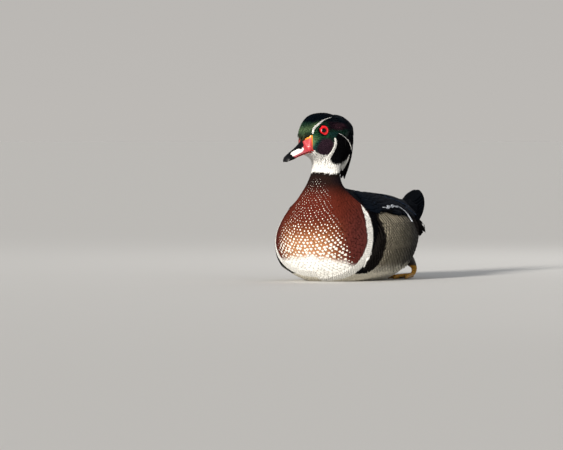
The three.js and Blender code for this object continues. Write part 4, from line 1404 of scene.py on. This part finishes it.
class DuckColours(bpy.types.PropertyGroup):
    """Colours of the plumage and the bare parts."""
    white: panel_colour("White", "Throat, bars and lines of the head", (0.87, 0.86, 0.82))
    black: panel_colour("Black", "Bars, nape and nail of the bill", (0.003, 0.003, 0.004))
    chestnut: panel_colour("Chestnut", "Front of the breast", (0.105, 0.019, 0.011))
    # Painted shade: a darker plum copy of the chestnut on the sides of the breast
    breast_side_shade: panel_colour("Plum", "Sides of the breast", (0.070, 0.022, 0.022))
    buff: panel_colour("Buff", "Flanks", (0.27, 0.24, 0.18))
    # Painted shade: a dark bluish grey over the rear of the flanks
    flank_shade: panel_colour("Ash", "Rear of the flanks", (0.030, 0.034, 0.042))
    green: panel_colour("Green", "Cheek around the eye", (0.016, 0.080, 0.034))
    # Painted sheen: a bright green band over the forehead's own iridescent green
    moss_sheen: panel_colour("Moss", "Bright band over the forehead", (0.090, 0.150, 0.070))
    teal: panel_colour("Teal", "Rim of the cheek", (0.012, 0.050, 0.046))
    mauve: panel_colour("Mauve", "Middle of the cheek", (0.042, 0.022, 0.034))
    maroon: panel_colour("Maroon", "Patch beside the vent", (0.11, 0.012, 0.030))
    temple: panel_colour("Temple", "Temple behind the eye", (0.036, 0.015, 0.022))
    crown: panel_colour("Crown", "Top of the head", (0.0015, 0.004, 0.007))
    wing: panel_colour("Wing", "Long feathers of the wings", (0.003, 0.005, 0.009))
    tail: panel_colour("Tail", "Feathers of the tail", (0.003, 0.004, 0.006))
    bill: panel_colour("Bill", "Sides of the bill", (0.40, 0.036, 0.044))
    bill_edge: panel_colour("Bill edge", "Rim at the base of the bill", (0.82, 0.30, 0.018))
    iris: panel_colour("Iris", "Iris", (0.62, 0.008, 0.014))
    lid: panel_colour("Lid", "Bare rim round the eye", (0.60, 0.016, 0.020))
    foot: panel_colour("Foot", "Legs and toes", (0.50, 0.25, 0.03))


class DuckSizes(bpy.types.PropertyGroup):
    """Sizes of the plumage and of the view."""
    body_pitch: bpy.props.FloatProperty(
        name="Body feathers", description="Spacing of the body's feathers, as a share of the drake's own",
        default=1.0, min=0.7, max=2, subtype="FACTOR")
    head_pitch: panel_length("Head feathers", "Spacing of the head's feathers", 0.0017, 0.001, 0.004)
    bar_pitch: panel_length("Bar feathers", "Spacing of the feathers in the bars", 0.0025, 0.0015, 0.006)
    flank_pitch: panel_length("Flank feathers", "Spacing of the barred flank feathers", 0.0042, 0.003, 0.01)
    scute_spacing: panel_length("Scutes", "Spacing of the scutes on legs and toes", 0.0022, 0.001, 0.004)
    view_side: panel_angle(
        "View from the side", "How far the camera stands to the left of the body's front", 30)
    view_height: panel_angle("View from above", "How steeply the camera looks down", 1.2)
    view_distance: panel_length("Camera distance", "From the camera to the bird", 6.5, 1, 20)
    view_width: panel_length("Picture width", "Width of the picture at the bird", 0.6756, 0.2, 3)


class DUCK_OT_skin(bpy.types.Operator):
    """One skin for body, neck and head"""
    bl_idname = "duck.skin"
    bl_label = "Skin"

    def execute(self, context):
        make_skin()
        return {"FINISHED"}


class DUCK_OT_body_coat(bpy.types.Operator):
    """Feathers of the breast, neck, sides and belly"""
    bl_idname = "duck.body_coat"
    bl_label = "Body coat"

    def execute(self, context):
        make_body_coat()
        return {"FINISHED"}


class DUCK_OT_head_coat(bpy.types.Operator):
    """Small feathers over the head, with its white lines"""
    bl_idname = "duck.head_coat"
    bl_label = "Head coat"

    def execute(self, context):
        make_head_coat()
        return {"FINISHED"}


class DUCK_OT_crest(bpy.types.Operator):
    """The core and plumes of the crest"""
    bl_idname = "duck.crest"
    bl_label = "Crest"

    def execute(self, context):
        make_crest()
        return {"FINISHED"}


class DUCK_OT_wings(bpy.types.Operator):
    """Folded wings with coverts and long feathers"""
    bl_idname = "duck.wings"
    bl_label = "Wings"

    def execute(self, context):
        make_wings()
        return {"FINISHED"}


class DUCK_OT_flanks(bpy.types.Operator):
    """Barred flank feathers and the lines above them"""
    bl_idname = "duck.flanks"
    bl_label = "Flanks"

    def execute(self, context):
        make_flanks()
        return {"FINISHED"}


class DUCK_OT_tail(bpy.types.Operator):
    """The fan of the tail and the wisps below it"""
    bl_idname = "duck.tail"
    bl_label = "Tail"

    def execute(self, context):
        make_tail()
        return {"FINISHED"}


class DUCK_OT_bill(bpy.types.Operator):
    """Upper and lower bill"""
    bl_idname = "duck.bill"
    bl_label = "Bill"

    def execute(self, context):
        make_bill()
        return {"FINISHED"}


class DUCK_OT_eyes(bpy.types.Operator):
    """Eyeballs and the rims round them"""
    bl_idname = "duck.eyes"
    bl_label = "Eyes"

    def execute(self, context):
        make_eyes()
        return {"FINISHED"}


class DUCK_OT_feet(bpy.types.Operator):
    """Legs and webbed feet"""
    bl_idname = "duck.feet"
    bl_label = "Feet"

    def execute(self, context):
        make_feet()
        return {"FINISHED"}


class DUCK_OT_stage(bpy.types.Operator):
    """Floor, world, lights and camera"""
    bl_idname = "duck.stage"
    bl_label = "Stage"

    def execute(self, context):
        make_stage()
        return {"FINISHED"}


class DUCK_PT_sidebar(bpy.types.Panel):
    """Lists the duck's pieces, sizes and colours."""
    bl_idname = "DUCK_PT_sidebar"
    bl_label = "Wood Duck"
    bl_space_type = "VIEW_3D"
    bl_region_type = "UI"
    bl_category = "Wood Duck"

    def draw(self, context):
        for operator in OPERATORS:
            self.layout.operator(operator.bl_idname)
        for group in (context.scene.duck_sizes, context.scene.duck_colours):
            for name in group.__annotations__:
                self.layout.prop(group, name)


OPERATORS = (DUCK_OT_skin, DUCK_OT_body_coat, DUCK_OT_head_coat, DUCK_OT_crest, DUCK_OT_wings,
             DUCK_OT_flanks, DUCK_OT_tail, DUCK_OT_bill, DUCK_OT_eyes, DUCK_OT_feet, DUCK_OT_stage)
CLASSES = (DuckColours, DuckSizes) + OPERATORS + (DUCK_PT_sidebar,)


def register():
    """Adds the classes and the scene's settings."""
    for each in CLASSES:
        bpy.utils.register_class(each)
    bpy.types.Scene.duck_colours = bpy.props.PointerProperty(type=DuckColours)
    bpy.types.Scene.duck_sizes = bpy.props.PointerProperty(type=DuckSizes)


def unregister():
    """Takes them away again."""
    del bpy.types.Scene.duck_sizes
    del bpy.types.Scene.duck_colours
    for each in reversed(CLASSES):
        bpy.utils.unregister_class(each)


def main():
    """Builds the drake and its stage."""
    register()
    bpy.ops.duck.skin()
    bpy.ops.duck.body_coat()
    bpy.ops.duck.head_coat()
    bpy.ops.duck.crest()
    bpy.ops.duck.wings()
    bpy.ops.duck.flanks()
    bpy.ops.duck.tail()
    bpy.ops.duck.bill()
    bpy.ops.duck.eyes()
    bpy.ops.duck.feet()
    bpy.ops.duck.stage()


if __name__ == "__main__":
    main()
